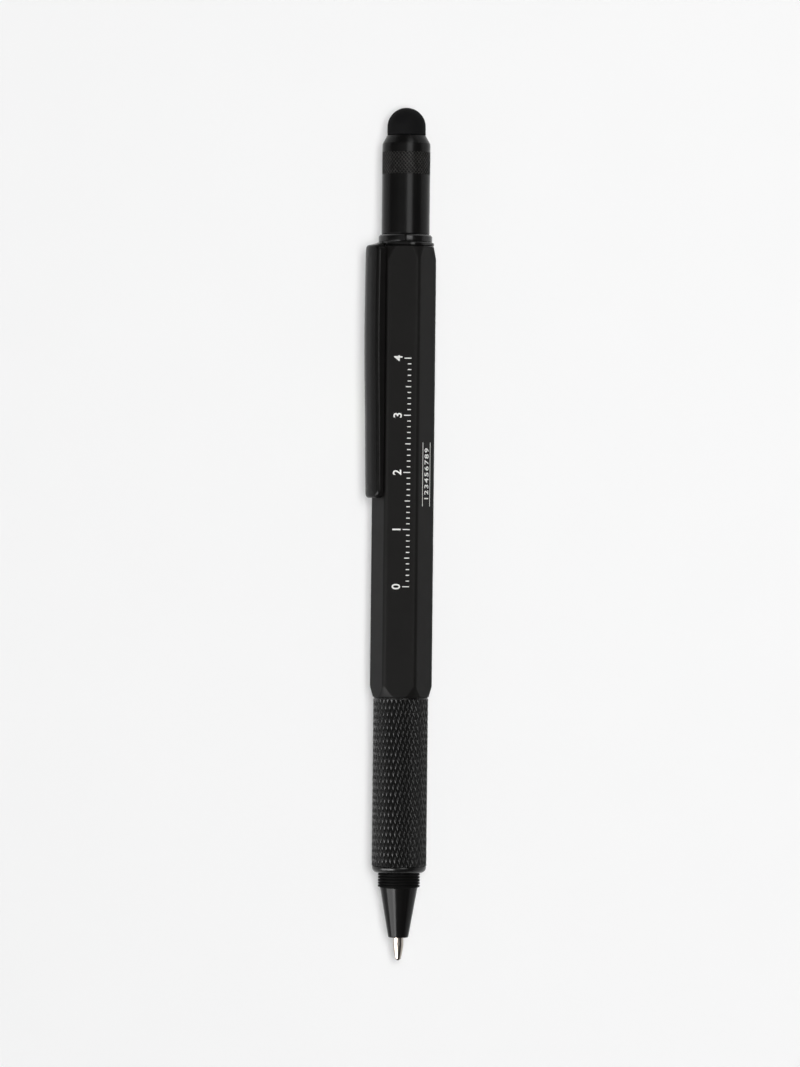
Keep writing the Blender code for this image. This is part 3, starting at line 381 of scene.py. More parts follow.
def arc(centre, radii, start, end, steps):
    """Points of an elliptic arc in a plane, angles in degrees from its first axis."""
    points = []
    for step in range(steps + 1):
        turn = radians(start + (end - start) * step / steps)
        points.append((centre[0] + radii[0] * cos(turn), centre[1] + radii[1] * sin(turn)))
    return points


def oval(radius, low, high, steps):
    """(radius, place) points of an oval from its top on the axis to its bottom."""
    half = (high - low) / 2
    points = arc((0, low + half), (radius, half), 90, -90, steps)
    return [(0, high), *points[1:-1], (0, low)]


def hexagon(flat_reach, corner_round, flat_steps=1):
    """Outline of a hexagon with rounded corners, one of them on +X."""
    centre = (flat_reach - corner_round) * CORNER_SHARE
    corners = []
    for corner in range(HEX):
        middle = 2 * pi * corner / HEX
        points = []
        for step in range(CORNER_STEPS + 1):
            turn = middle + pi / HEX * (2 * step / CORNER_STEPS - 1)
            across = centre * cos(middle) + corner_round * cos(turn)
            points.append((across, centre * sin(middle) + corner_round * sin(turn)))
        corners.append(points)
    outline = []
    for corner, points in enumerate(corners):
        outline += points
        here, ahead = Vector(points[-1]), Vector(corners[(corner + 1) % HEX][0])
        outline += [tuple(here.lerp(ahead, step / flat_steps)) for step in range(1, flat_steps)]
    return outline


def slot_outline(slot_length, slot_width):
    """(along, across) outline of a slot with round ends."""
    radius = slot_width / 2
    end = arc((slot_length / 2 - radius, 0), (radius, radius), -90, 90, 2 * ARC_STEPS)
    return end + [(-along, -across) for along, across in end]


def bridge(edit, rings):
    """Faces between each closed ring of corners and the next."""
    for lower, upper in zip(rings, rings[1:]):
        for k in range(len(lower)):
            after = (k + 1) % len(lower)
            edit.faces.new((lower[k], lower[after], upper[after], upper[k]))


def loft(rings, loop=True, capped=False):
    """Mesh through rings of as many points each; loop joins the last to the first, capped fills both."""
    edit = bmesh.new()
    grid = [[edit.verts.new(point) for point in ring] for ring in rings]
    bridge(edit, grid + grid[:1] if loop else grid)
    if capped:
        edit.faces.new(grid[0])
        edit.faces.new(grid[-1])
    return edit


def tidy(edit, weld=WELD):
    """Weld a mesh and turn its faces outwards."""
    bmesh.ops.remove_doubles(edit, verts=edit.verts, dist=weld)
    bmesh.ops.recalc_face_normals(edit, faces=edit.faces)
    return edit


def solid_loft(rings):
    """Closed mesh through rings, filled at both ends."""
    return tidy(loft(rings, loop=False, capped=True))


def turned(profile, sides=TURNING_SIDES):
    """Turned mesh from (radius, place) points; one that starts and ends on the axis is solid."""
    solid = profile[0][0] < WELD and profile[-1][0] < WELD
    return tidy(loft([circle(radius, place, sides) for radius, place in profile], loop=not solid))


def prism(outline, bottom, top):
    """Straight prism along the pen from a flat outline."""
    return solid_loft([level_ring(outline, bottom), level_ring(outline, top)])


def linked(name, data):
    """Object in the scene."""
    thing = bpy.data.objects.new(name, data)
    bpy.context.scene.collection.objects.link(thing)
    return thing


def link_mesh(name, edit):
    """Turn a bmesh into a linked object."""
    mesh = bpy.data.meshes.new(name)
    edit.to_mesh(mesh)
    edit.free()
    return linked(name, mesh)


def placed(origin, right, up, back):
    """Matrix that stands a thing at a point, its X, Y and Z in three directions."""
    return Matrix.Translation(origin) @ Matrix((right, up, back)).transposed().to_4x4()


def evaluated(thing):
    """Mesh of an object as its modifiers or its curve give it; the object goes."""
    bpy.context.view_layer.update()
    depsgraph = bpy.context.evaluated_depsgraph_get()
    mesh = bpy.data.meshes.new_from_object(thing.evaluated_get(depsgraph))
    edit = bmesh.new()
    edit.from_mesh(mesh)
    bpy.data.objects.remove(thing)
    bpy.data.meshes.remove(mesh)
    return edit


def cut(edit, tool, operation="DIFFERENCE"):
    """Cut one mesh by another."""
    blank, cutter = link_mesh("blank", edit), link_mesh("cutter", tool)
    change = blank.modifiers.new("cut", "BOOLEAN")
    change.operation = operation
    change.object = cutter
    result = evaluated(blank)
    bpy.data.objects.remove(cutter)
    bmesh.ops.dissolve_degenerate(result, dist=FINE_WELD, edges=result.edges)
    return result


def thread_rings(bottom, top, crest, depth, pitch):
    """Rings of a screw thread that fades out at both ends, from the top down."""
    rings = []
    rows = round((top - bottom) / pitch * THREAD_STEPS)
    for row in range(rows + 1):
        place = top + (bottom - top) * row / rows
        fade = min(1, 2 * row / THREAD_STEPS, 2 * (rows - row) / THREAD_STEPS)
        ring = []
        for k in range(TURNING_SIDES):
            turn = k / TURNING_SIDES
            wave = 0.5 + 0.5 * cos(2 * pi * ((place - bottom) / pitch - turn))
            radius = crest - depth * fade * (1 - min(1, FLANK * wave))
            ring.append(spot(radius, 2 * pi * turn, place))
        rings.append(ring)
    return rings


def knurled(above, below, radius, depth, band, counts, diamond):
    """Ring with diamond knurling between rows of plain rings, each diamond built in layers.

    above and below are (radius, place) points that join the band's two ends through the bore,
    band is (bottom, top), and counts are the half rows and the diamonds around. Diamonds stand
    on every other crossing of a grid of columns and half rows; roots are the crossings between.
    """
    edit = bmesh.new()
    bottom, top = band
    rows, columns = counts[0], 2 * counts[1]
    turn = 2 * pi / columns
    step = (bottom - top) / rows

    def corner(column, row, depth_share):
        return edit.verts.new(spot(radius - depth * depth_share, turn * column, top + step * row))

    roots = {}
    for row in range(rows + 1):
        for column in range(columns):
            if (row + column) % 2 == 0 or row in (0, rows):
                roots[column, row] = corner(column, row, diamond[0][1])
    for row in range(rows + 1):
        ways = [(1, 0), (0, 1), (-1, 0), (0, -1)]
        if row == 0:
            ways = ways[:3]
        if row == rows:
            ways = [ways[2], ways[3], ways[0]]
        sides = 4 if len(ways) == 4 else 2  # a rim cuts its diamonds in half
        for column in range((row + 1) % 2, columns, 2):
            layers = [[roots[(column + x) % columns, row + y] for x, y in ways]]
            for way, sunk in diamond[1:]:
                layers.append([corner(column + x * way, row + y * way, sunk) for x, y in ways])
            for low, high in zip(layers, layers[1:]):
                for k in range(sides):
                    after = (k + 1) % len(ways)
                    edit.faces.new((low[k], low[after], high[after], high[k]))
            edit.faces.new(layers[-1])
            if row in (0, rows):
                rim = [layer[0] for layer in layers] + [layer[2] for layer in reversed(layers)]
                edit.faces.new(rim + [roots[column, row]])
    first, last = ([roots[column, row] for column in range(columns)] for row in (0, rows))
    over = [[edit.verts.new(point) for point in circle(*at, columns)] for at in above]
    under = [[edit.verts.new(point) for point in circle(*at, columns)] for at in below]
    bridge(edit, [*over, first])
    bridge(edit, [last, *under, over[0]])
    return tidy(edit)


def add_piece(name, edit, material, body, cad_node, stands=True, sharp=SHARP_ANGLE, rides=True):
    """Finish a shaded mesh as a piece that rides with a body and hides the CAD node it stands for, each
    unless told not to.
    """
    piece = link_mesh(name, edit)
    piece.data.shade_smooth()
    piece.data.set_sharp_from_angle(angle=sharp)
    piece.data.materials.append(material)
    even = piece.modifiers.new("even_shading", "WEIGHTED_NORMAL")
    even.keep_sharp = True
    if rides:
        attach(piece, body)
    if stands:
        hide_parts(cad_node)
    return piece


def finish_band(piece, material, low, high):
    """Give the faces between two places along the pen a finish of their own."""
    piece.data.materials.append(material)
    for face in piece.data.polygons:
        face.material_index = int(low < face.center.y < high)


# Finishes

TURNED = (0.02, 1, 0.02)  # stretch that draws a noise out around the axis
DRAWN = (1, 0.03, 1)  # stretch that draws it out along the pen
GRAIN_DEPTH = 0.000004
FINE_DEPTH = 0.000003
COARSE_DEPTH = 0.000006
PEEL_DEPTH = 0.000012


def shade(tone, factor):
    """Colour times a factor."""
    return [min(1, factor * value) for value in tone]


def node(tree, kind, sockets=(), **settings):
    """Add a node; sockets pairs an input with a value or with the output that feeds it."""
    made = tree.nodes.new(kind)
    for name, value in settings.items():
        setattr(made, name, value)
    for key, value in dict(sockets).items():
        if isinstance(value, bpy.types.NodeSocket):
            tree.links.new(value, made.inputs[key])
        else:
            made.inputs[key].default_value = value
    return made


def ramp(tree, value, low, high, start, end):
    """Value mapped smoothly from one range to another."""
    sockets = {0: value, 1: low, 2: high, 3: start, 4: end}
    return node(tree, "ShaderNodeMapRange", sockets, interpolation_type="SMOOTHSTEP").outputs[0]


def combine(tree, operation, first, second):
    """Result of an operation on two values."""
    return node(tree, "ShaderNodeMath", {0: first, 1: second}, operation=operation).outputs[0]


class Finish:
    """Principled material whose colour, roughness and bump come from a few textures."""

    def __init__(self, name, base, roughness, metallic=0.0, specular=0.5, ior=1.5):
        self.material = bpy.data.materials.new(name)
        self.material.use_nodes = True
        self.tree = self.material.node_tree
        self.shader = self.tree.nodes["Principled BSDF"]
        self.base = base
        self.set("Base Color", (*base, 1))
        self.set("Roughness", roughness)
        self.set("Metallic", metallic)
        self.set("Specular IOR Level", specular)
        self.set("IOR", ior)
        self.place = node(self.tree, "ShaderNodeTexCoord").outputs["Object"]
        self.colour_out = (*base, 1)
        self.rough_out = roughness
        self.normal_out = None

    def set(self, socket, value):
        """Set a value that is the same all over."""
        self.shader.inputs[socket].default_value = value

    def vectors(self, operation, first, second=(0, 0, 0)):
        """Result of an operation on two vectors: a number for LENGTH."""
        made = node(self.tree, "ShaderNodeVectorMath", {0: first, 1: second}, operation=operation)
        return made.outputs["Value" if operation == "LENGTH" else "Vector"]

    def noise(self, scale, detail=3, stretch=None, spread=0.5):
        """Noise from 0 to 1; a small spread gives it a hard contrast."""
        vector = self.vectors("MULTIPLY", self.place, stretch) if stretch else self.place
        sockets = {"Vector": vector, "Scale": scale, "Detail": detail}
        made = node(self.tree, "ShaderNodeTexNoise", sockets)
        return ramp(self.tree, made.outputs[0], 0.5 - spread / 2, 0.5 + spread / 2, 0, 1)

    def around(self, low, high):
        """0 to 1 between two radii around the pen's axis."""
        across = self.vectors("MULTIPLY", self.vectors("SUBTRACT", self.place, axis), (1, 0, 1))
        return ramp(self.tree, self.vectors("LENGTH", across), low, high, 0, 1)

    def tint(self, mask, amount, tone):
        """Blend the colour towards a tone by an amount where a mask is high."""
        factor = combine(self.tree, "MULTIPLY", mask, amount)
        sockets = {0: factor, 6: self.colour_out, 7: (*tone, 1)}
        self.colour_out = node(self.tree, "ShaderNodeMix", sockets, data_type="RGBA").outputs[2]
        self.tree.links.new(self.colour_out, self.shader.inputs["Base Color"])

    def polish(self, mask, change):
        """Change the roughness where a mask is high."""
        change_out = combine(self.tree, "MULTIPLY", mask, change)
        self.rough_out = combine(self.tree, "ADD", change_out, self.rough_out)
        self.tree.links.new(self.rough_out, self.shader.inputs["Roughness"])

    def mottle(self, factor, amount, **texture):
        """Clouds in which the base colour is times a factor."""
        self.tint(self.noise(**texture), amount, shade(self.base, factor))

    def specks(self, tone, amount, low, high, **texture):
        """Specks of a tone where a noise rises from low to high."""
        mask = ramp(self.tree, self.noise(spread=1, **texture), low, high, 0, 1)
        self.tint(mask, amount, tone)

    def patches(self, change, **texture):
        """Patches of another roughness."""
        self.polish(self.noise(**texture), change)

    def grain(self, strength, distance, **texture):
        """Bumps of a grain or of tool marks."""
        sockets = {"Height": self.noise(**texture), "Strength": strength, "Distance": distance}
        if self.normal_out:
            sockets["Normal"] = self.normal_out
        self.normal_out = node(self.tree, "ShaderNodeBump", sockets).outputs[0]
        self.tree.links.new(self.normal_out, self.shader.inputs["Normal"])


def black_anodise(name, base, roughness, specular, lines=0.0, wear=None, tops=None):
    """Satin black anodised aluminium: blasted grain, handling marks and turned lines.

    wear is (radius, radius, share, colour): the colour grows to its share between the radii. On the cap's
    knurls this is wear and partly painted highlight on the ridges.
    tops is (radius, radius, roughness): knurled tops reach that roughness in the same way.
    """
    finish = Finish(name, base, roughness, specular=specular)
    finish.mottle(factor=1.7, amount=0.25, scale=180, detail=4, spread=0.6)
    finish.patches(change=0.03, scale=420, detail=5)
    finish.patches(change=-0.02, scale=70, detail=2, stretch=DRAWN, spread=0.4)
    if wear:
        # Ridge tint: wear, and on the cap's knurls partly painted highlight.
        rubbing_and_highlight = finish.noise(scale=1500, detail=5, spread=1)
        mask = combine(finish.tree, "MULTIPLY", finish.around(wear[0], wear[1]), rubbing_and_highlight)
        finish.tint(mask, wear[2], wear[3])
    if tops:
        finish.polish(finish.around(tops[0], tops[1]), tops[2] - roughness)
    finish.grain(strength=0.25, distance=GRAIN_DEPTH, scale=9000, detail=2, spread=0.6)
    if lines:
        finish.grain(strength=lines, distance=GRAIN_DEPTH, scale=11000, stretch=TURNED)
    return finish.material


def coated_steel(name, base, roughness=0.22, specular=0.1):
    """Black coated spring steel: smoother than the barrel, with faint orange peel."""
    finish = Finish(name, base, roughness, specular=specular)
    finish.mottle(factor=1.8, amount=0.2, scale=300, detail=4)
    finish.patches(change=0.04, scale=900, detail=4)
    finish.grain(strength=0.02, distance=PEEL_DEPTH, scale=1600, detail=2)
    finish.grain(strength=0.04, distance=FINE_DEPTH, scale=8000, detail=2)
    return finish.material


def soft_rubber(name):
    """Matt silicone rubber with a little dust."""
    finish = Finish(name, colours().rubber, roughness=0.62, specular=0.05)
    finish.specks(colours().dust, amount=0.1, low=0.72, high=0.9, scale=2600, detail=6)
    finish.patches(change=0.12, scale=500)
    finish.grain(strength=0.3, distance=COARSE_DEPTH, scale=7000)
    return finish.material


def bright_steel(name, base, roughness, stretch, lines=0.35):
    """Machined metal with fine lines in the direction of the tool."""
    finish = Finish(name, base, roughness, metallic=1.0)
    finish.mottle(factor=0.72, amount=0.35, scale=900, detail=4)
    finish.patches(change=0.12, scale=2500, detail=4, stretch=stretch)
    finish.grain(strength=lines, distance=FINE_DEPTH, scale=9000, stretch=stretch)
    return finish.material


def moulded(name, base):
    """Moulded plastic with a fine spark-eroded grain."""
    finish = Finish(name, base, roughness=0.45, specular=0.45)
    finish.mottle(factor=1.25, amount=0.3, scale=250)
    finish.patches(change=0.1, scale=1200)
    finish.grain(strength=0.3, distance=COARSE_DEPTH, scale=5500)
    return finish.material


def printed(name, base):
    """Pad printed ink: slightly uneven, with a faint grain."""
    finish = Finish(name, base, roughness=0.5, specular=0.4)
    finish.specks(shade(base, 0.6), amount=0.45, low=0.66, high=0.85, scale=7000, detail=4)
    finish.patches(change=0.12, scale=3000)
    finish.grain(strength=0.2, distance=FINE_DEPTH, scale=9000, detail=2)
    return finish.material


def clear(name, base, transmission, roughness, ior, glow=0.0):
    """Clear plastic, liquid or air with a faint haze; glow is painted light, an emission in its own colour
    that stands for the light that it catches.
    """
    finish = Finish(name, base, roughness, ior=ior)
    finish.set("Transmission Weight", transmission)
    # Painted light: the material glows in its own colour though it is no lamp.
    if glow:
        finish.set("Emission Color", (*base, 1))
        finish.set("Emission Strength", glow)
    finish.patches(change=0.03, scale=400)
    finish.mottle(factor=0.9, amount=0.12, scale=150, detail=2)
    return finish.material


# Operators


class PEN_OT_stage(bpy.types.Operator):
    """Camera, floor, lamps and world"""

    bl_idname = "pen.stage"
    bl_label = "Stage"

    clip_share = 0.02  # nearest that the camera sees, as a share of its distance
    floor_reach = 3.0
    lift_near, lift_far = 0.25, 1.8  # distances between which the floor's lift grows
    horizon = (0.05, 0.25)  # heights between which the white ends and the walls begin
    ceiling = (0.75, 0.98)  # heights between which the light overhead begins
    white = 0.93

    # Each faces the pen from a direction (right, up the pen, above); a height lies along the pen
    lamps = {
        "key": dict(direction=(0.167, 0.05, 1), distance=1.1, width=0.37, height=0.5, sheen=False),
        "sheen_key": dict(direction=(0.4, 0.26, 1), distance=1.1, width=0.46, height=0.58),
        "sheen_end": dict(direction=(0.308, 0.815, 0.491), distance=1.1, width=0.4, height=0.25),
        "sheen_side": dict(direction=(-0.705, -0.42, 0.571), distance=1.2, width=1.2, height=0.62),
        "sheen_strip": dict(direction=(-0.44, -0.42, 0.794), distance=1.15, width=0.26, height=0.62),
    }

    def execute(self, context):
        stage = context.scene.pen_stage
        context.scene.view_settings.view_transform = "Standard"
        self.add_camera(context.scene, stage)
        self.add_floor(stage)
        self.add_world(context.scene, stage)
        for name, lamp in self.lamps.items():
            self.add_softbox(name, getattr(stage, name), **lamp)
        return {"FINISHED"}

    def add_camera(self, scene, stage):
        """Camera at the photo's distance and angle."""
        target = Vector((-stage.view_side, tip_place + stage.view_place, axis_height))
        back = Vector((sin(stage.roll), 0, cos(stage.roll)))
        up = Vector((-sin(stage.lean), cos(stage.lean), 0))
        up = (up - back * up.dot(back)).normalized()
        camera = bpy.data.cameras.new("camera")
        camera.sensor_fit = "VERTICAL"
        camera.lens = camera.sensor_height * stage.distance / stage.view_height
        camera.clip_start = stage.distance * self.clip_share
        scene.camera = linked("camera", camera)
        scene.camera.matrix_world = placed(target + back * stage.distance, up.cross(back), up, back)

    def add_softbox(self, name, level, direction, distance, width, height, sheen=True):
        """Rectangular lamp of a radiance.

        One with sheen is seen by gloss alone; one without it lights the colours and casts the shadow.
        """
        lamp = bpy.data.lights.new(name, "AREA")
        lamp.shape = "RECTANGLE"
        lamp.size, lamp.size_y = width, height
        lamp.energy = level * pi * width * height
        towards = Vector(direction).normalized()
        along = (Vector((0, 1, 0)) - towards * towards.y).normalized()
        thing = linked(name, lamp)
        thing.matrix_world = placed(axis + towards * distance, along.cross(towards), along, towards)
        thing.visible_camera = False
        thing.visible_glossy = sheen
        thing.visible_diffuse = not sheen

    def add_floor(self, stage):
        """Pale paper floor that keeps the pen's shadow."""
        edit = bmesh.new()
        signs = ((-1, -1), (1, -1), (1, 1), (-1, 1))
        corners = [(x * self.floor_reach, y * self.floor_reach, 0) for x, y in signs]
        edit.faces.new([edit.verts.new(corner) for corner in corners])
        floor = link_mesh("floor", edit)
        finish = Finish("floor_paper", colours().floor, roughness=0.9, specular=0.0)
        finish.tint(finish.noise(scale=60), 0.02, colours().fibre)
        finish.set("Emission Color", (1, 1, 1, 1))
        away = finish.vectors("LENGTH", finish.place)
        lift = ramp(finish.tree, away, self.lift_near, self.lift_far, stage.floor_lift, stage.far_lift)
        glow = combine(finish.tree, "MULTIPLY", self.direct_look(finish.tree), lift)
        finish.tree.links.new(glow, finish.shader.inputs["Emission Strength"])
        floor.data.materials.append(finish.material)

    def direct_look(self, tree):
        """1 for what the camera sees, directly or in gloss and glass."""
        path = node(tree, "ShaderNodeLightPath").outputs
        mirrored = combine(tree, "MAXIMUM", path["Is Glossy Ray"], path["Is Transmission Ray"])
        return combine(tree, "MAXIMUM", path["Is Camera Ray"], mirrored)

    def add_world(self, scene, stage):
        """White surroundings with a darker ceiling for gloss, and an even fill."""
        world = bpy.data.worlds.new("studio")
        scene.world = world
        world.use_nodes = True
        tree = world.node_tree
        camera_ray = node(tree, "ShaderNodeLightPath").outputs["Is Camera Ray"]
        direction = node(tree, "ShaderNodeTexCoord").outputs["Generated"]
        height = node(tree, "ShaderNodeSeparateXYZ", {0: direction}).outputs["Z"]
        walls = ramp(tree, height, *self.horizon, self.white, stage.low_walls)
        overhead = ramp(tree, height, *self.ceiling, 0, stage.overhead)
        gloss = combine(tree, "ADD", walls, overhead)
        mixed = node(tree, "ShaderNodeMix", {0: self.direct_look(tree), 2: stage.fill, 3: gloss}).outputs[0]
        final = node(tree, "ShaderNodeMix", {0: camera_ray, 2: mixed, 3: self.white}).outputs[0]
        background = tree.nodes["Background"].inputs
        tree.links.new(final, background["Strength"])
        background["Color"].default_value = (1, 1, 1, 1)


class PEN_OT_barrel(bpy.types.Operator):
    """Hexagonal barrel with turned ends and the level's window"""

    bl_idname = "pen.barrel"
    bl_label = "Barrel"

    def execute(self, context):
        s = sizes()
        rings = []
        for across, up in hexagon(apothem, s.corner_round, FLAT_STEPS):
            turn, flat_reach = atan2(up, across), hypot(across, up)
            rings.append([spot(radius, turn, place) for radius, place in self.column(s, flat_reach)])
        edit = cut(tidy(loft(rings)), self.window_cutter(s))
        material = black_anodise("anodised_barrel", colours().anodised, roughness=0.42, specular=0.09)
        add_piece("barrel_shell", edit, material, "barrel", "hex_barrel")
        return {"FINISHED"}

    def window_cutter(self, s):
        """Slot through the wall that flares at the outside."""
        levels = (
            (lower_bore - OVERRUN, 0),
            (apothem - SOFT_ROUND, 0),
            (apothem + OVERRUN, SOFT_ROUND + OVERRUN),
        )
        rings = []
        for distance, wider in levels:
            ring = []
            for along, across in slot_outline(s.window_length + 2 * wider, s.window_width + 2 * wider):
                point = spot(distance, LEVEL_FACE, bubble_place + along)
                ring.append(point + across * sideways(LEVEL_FACE))
            rings.append(ring)
        return solid_loft(rings)

    def column(self, s, flat_reach):
        """(radius, place) points down the outside at one angle, and up the bore."""
        outside = []
        ends = (
            (barrel_top, -1, s.top_chamfer, s.top_depth),
            (barrel_bottom, 1, s.bottom_chamfer, s.bottom_depth),
        )
        for end, inwards, chamfer, depth in ends:
            end_radius = corner_reach - depth
            slope = depth / chamfer
            crossing = max(0, flat_reach - end_radius) / slope
            side = [(min(flat_reach, end_radius) - EDGE_ROUND, 0)]
            for along in (EDGE_ROUND * ROUND_MIDDLE, EDGE_ROUND):
                inset = (EDGE_ROUND - along) * ROUND_MIDDLE
                side.append((min(flat_reach, end_radius + along * slope) - inset, along))
            for along in (crossing - 2 * EDGE_ROUND, crossing + 2 * EDGE_ROUND):
                along = max(along, EDGE_ROUND)
                side.append((min(flat_reach, end_radius + along * slope), along))
            side = [(radius, end + inwards * along) for radius, along in side]
            outside += side if inwards < 0 else side[::-1]
        inside = [
            (mouth_radius + EDGE_ROUND, barrel_bottom),
            (mouth_radius, barrel_bottom + EDGE_ROUND),
            (mouth_radius, mouth_top),
            (lower_bore, mouth_top),
            (lower_bore, ledge_place),
            (upper_bore, ledge_place),
            (upper_bore, barrel_top - EDGE_ROUND),
            (upper_bore + EDGE_ROUND, barrel_top),
        ]
        return outside + inside


class PEN_OT_marks(bpy.types.Operator):
    """Printed scale on the front flat and a row of numbers on the right one"""

    bl_idname = "pen.marks"
    bl_label = "Printed marks"

    millimetre = 0.001
    centimetre = 10  # in millimetres
    scale_millimetres = 40
    scale_middle = 0.0858  # above the writing tip
    scale_side = 0.00001  # right of the middle of the flat
    tick_width = 0.00016
    tick_heights = {10: 0.0012, 5: 0.0009, 1: 0.0006}  # at every so many millimetres
    digit_foot = 0.0016  # above the feet of the ticks
    digit_height = 0.0015
    row_numbers = 9
    row_length, row_height = 0.0112, 0.0023
    row_line = 0.00013
    row_margin = 1.6  # blank ends of the row, in pitches of its numbers
    row_digit = 0.00124
    row_middle = 0.0855  # above the writing tip
    row_side = 0.00007  # right of the middle of the flat
    type_height = 0.73  # of a figure, as a share of the type's size
    type_swell = 0.02  # how much bolder the figures are, as a share of their height
    type_steps = 6  # more would cross themselves in the small figures

    def execute(self, context):
        ink = printed("white_ink", colours().ink)
        add_piece("scale_marks", self.scale(), ink, "barrel", "hex_barrel", stands=False)
        add_piece("number_row", self.row(), ink, "barrel", "hex_barrel", stands=False)
        return {"FINISHED"}

    def scale(self):
        """Centimetre scale with its numbers."""
        edit = bmesh.new()
        foot = -sizes().mark_height / 2
        start = -self.scale_millimetres * self.millimetre / 2
        ticks = range(self.scale_millimetres + 1)
        for k in ticks:
            tall = next(height for every, height in self.tick_heights.items() if k % every == 0)
            self.bar(edit, start + k * self.millimetre, foot + tall / 2, self.tick_width, tall)
        for number, k in enumerate(ticks[:: self.centimetre]):
            along = start + k * self.millimetre
            self.digit(edit, number, along, foot + self.digit_foot, self.digit_height)
        self.place(edit, FRONT_FACE, tip_place + self.scale_middle, -self.scale_side)
        return edit

    def row(self):
        """Row of numbers between two lines."""
        edit = bmesh.new()
        for across in (-self.row_height / 2, self.row_height / 2):
            self.bar(edit, 0, across, self.row_length, self.row_line)
        pitch = self.row_length / (self.row_numbers + self.row_margin)
        for number in range(1, self.row_numbers + 1):
            along = (number - (self.row_numbers + 1) / 2) * pitch
            self.digit(edit, number, along, -self.row_digit / 2, self.row_digit)
        self.place(edit, RIGHT_FACE, tip_place + self.row_middle, -self.row_side)
        return edit

    def bar(self, edit, along, across, width, height):
        """Flat bar of ink, its middle at along and across."""
        size = Vector((width, height, 2 * sizes().mark_relief))
        made = bmesh.ops.create_cube(edit, size=1)["verts"]
        bmesh.ops.scale(edit, vec=size, verts=made)
        bmesh.ops.translate(edit, vec=(along, across, 0), verts=made)

    def digit(self, edit, number, along, across, height):
        """Number with its foot at across."""
        curve = bpy.data.curves.new("digit", "FONT")
        curve.body = str(number)
        curve.size = height / self.type_height
        curve.align_x = "CENTER"
        curve.offset = height * self.type_swell
        curve.extrude = sizes().mark_relief
        curve.resolution_u = self.type_steps
        letters = tidy(evaluated(linked("digit", curve)), FINE_WELD)
        bmesh.ops.translate(letters, vec=(along, across, 0), verts=letters.verts)
        mesh = bpy.data.meshes.new("digit")
        letters.to_mesh(mesh)
        letters.free()
        edit.from_mesh(mesh)
        bpy.data.meshes.remove(mesh)

    def place(self, edit, face, middle, side):
        """Turn marks drawn in the XY plane onto a flat, to be read from the writing tip upwards."""
        along = Vector((0, 1, 0))
        across = outwards(face).cross(along)
        origin = spot(apothem, face, middle) + across * side
        edit.transform(placed(origin, along, across, outwards(face)))


class PEN_OT_grip(bpy.types.Operator):
    """Knurled grip with its smooth shoulder"""

    bl_idname = "pen.grip"
    bl_label = "Grip"

    top_land = 0.00024  # from the knurls to the grip's top
    shoulder_step = 0.00007  # how far the shoulder stands back
    shoulder_round = (0.00095, 0.0009)
    shoulder_start, shoulder_steps = 8, 12  # degrees above the widest place, and steps to the end
    wear_depth, wear_share = 0.1, 0.12  # depth as a share of the knurls'
    top_depths, top_roughness = (0.3, 0.17), 0.22  # depths as shares of the knurls'

    def execute(self, context):
        s, c = sizes(), colours()
        root = grip_radius - s.grip_depth
        low, high = grip_bottom + s.grip_shoulder, grip_top - self.top_land
        rim, rim_top = grip_radius - s.rim_step, barrel_bottom - s.rim_gap
        above = [
            (grip_bore, rim_top),
            (rim - EDGE_ROUND, rim_top),
            (rim, rim_top - EDGE_ROUND),
            (rim, high + WELL),
            (root, high + WELL),
        ]
        shoulder = grip_radius - self.shoulder_step
        wide, tall = self.shoulder_round
        centre = (shoulder - wide, grip_bottom + tall)
        below = [
            (root, low - WELL),
            (shoulder - SMALL_ROUND, low - SOFT_ROUND),
            *arc(centre, (wide, tall), self.shoulder_start, -90, self.shoulder_steps),
            (grip_bore, grip_bottom),
        ]
        counts = (s.grip_rows, s.grip_diamonds)
        edit = knurled(above, below, grip_radius, s.grip_depth, (low, high), counts, POINTED_DIAMOND)
        smooth = black_anodise("anodised_grip", c.turned_black, roughness=0.24, specular=0.27)
        grip = add_piece("knurled_grip", edit, smooth, "grip", "grip_sleeve", sharp=radians(25))
        wear = (grip_radius - self.wear_depth * s.grip_depth, grip_radius, self.wear_share, c.worn_edge)
        tops = [grip_radius - depth * s.grip_depth for depth in self.top_depths] + [self.top_roughness]
        knurls = black_anodise(
            "anodised_diamonds", c.turned_black, roughness=0.5, specular=0.3, wear=wear, tops=tops
        )
        finish_band(grip, knurls, low, high)
        return {"FINISHED"}


class PEN_OT_nose(bpy.types.Operator):
    """Turned nose with its rings and cone"""

    bl_idname = "pen.nose"
    bl_label = "Nose"

    ring_shape = ((0, 0), (0.12, 1), (0.7, 1), (0.82, 0))  # share of the pitch, share of the height
    end_round = 0.00025
    throat_length, funnel_end = 0.0009, 0.0011

    def execute(self, context):
        s, c = sizes(), colours()
        cone_top = nose_end + s.cone_length
        rings_top = cone_top + s.nose_rings * s.nose_ring_pitch
        throat = bore("nose_cone")
        root = s.nose_ring_diameter / 2 - s.nose_ring_depth
        corners = [
            (nose_bore, nose_stem_top, SMALL_ROUND),
            (nose_stem, nose_stem_top, EDGE_ROUND),
            (nose_stem, rings_top, 0),
        ]
        for k in range(s.nose_rings):
            for along, tall in self.ring_shape:
                place = rings_top - (k + along) * s.nose_ring_pitch
                corners.append((root + tall * s.nose_ring_depth, place, tall * SMALL_ROUND))
        corners += [
            (root, cone_top, 0),
            (s.cone_top_diameter / 2, cone_top, EDGE_ROUND),
            (s.cone_end_diameter / 2, nose_end, self.end_round),
            (throat, nose_end, EDGE_ROUND),
            (throat, nose_end + self.throat_length, 0),
            (nose_bore, nose_end + self.funnel_end, 0),
        ]
        smooth = black_anodise("anodised_nose", c.turned_black, roughness=0.19, specular=0.12, lines=0.2)
        nose = add_piece("turned_nose", turned(rounded(corners)), smooth, "grip", "nose_cone")
        dull = black_anodise("anodised_rings", c.turned_black, roughness=0.4, specular=0.02, lines=0.2)
        finish_band(nose, dull, cone_top, rings_top)
        return {"FINISHED"}


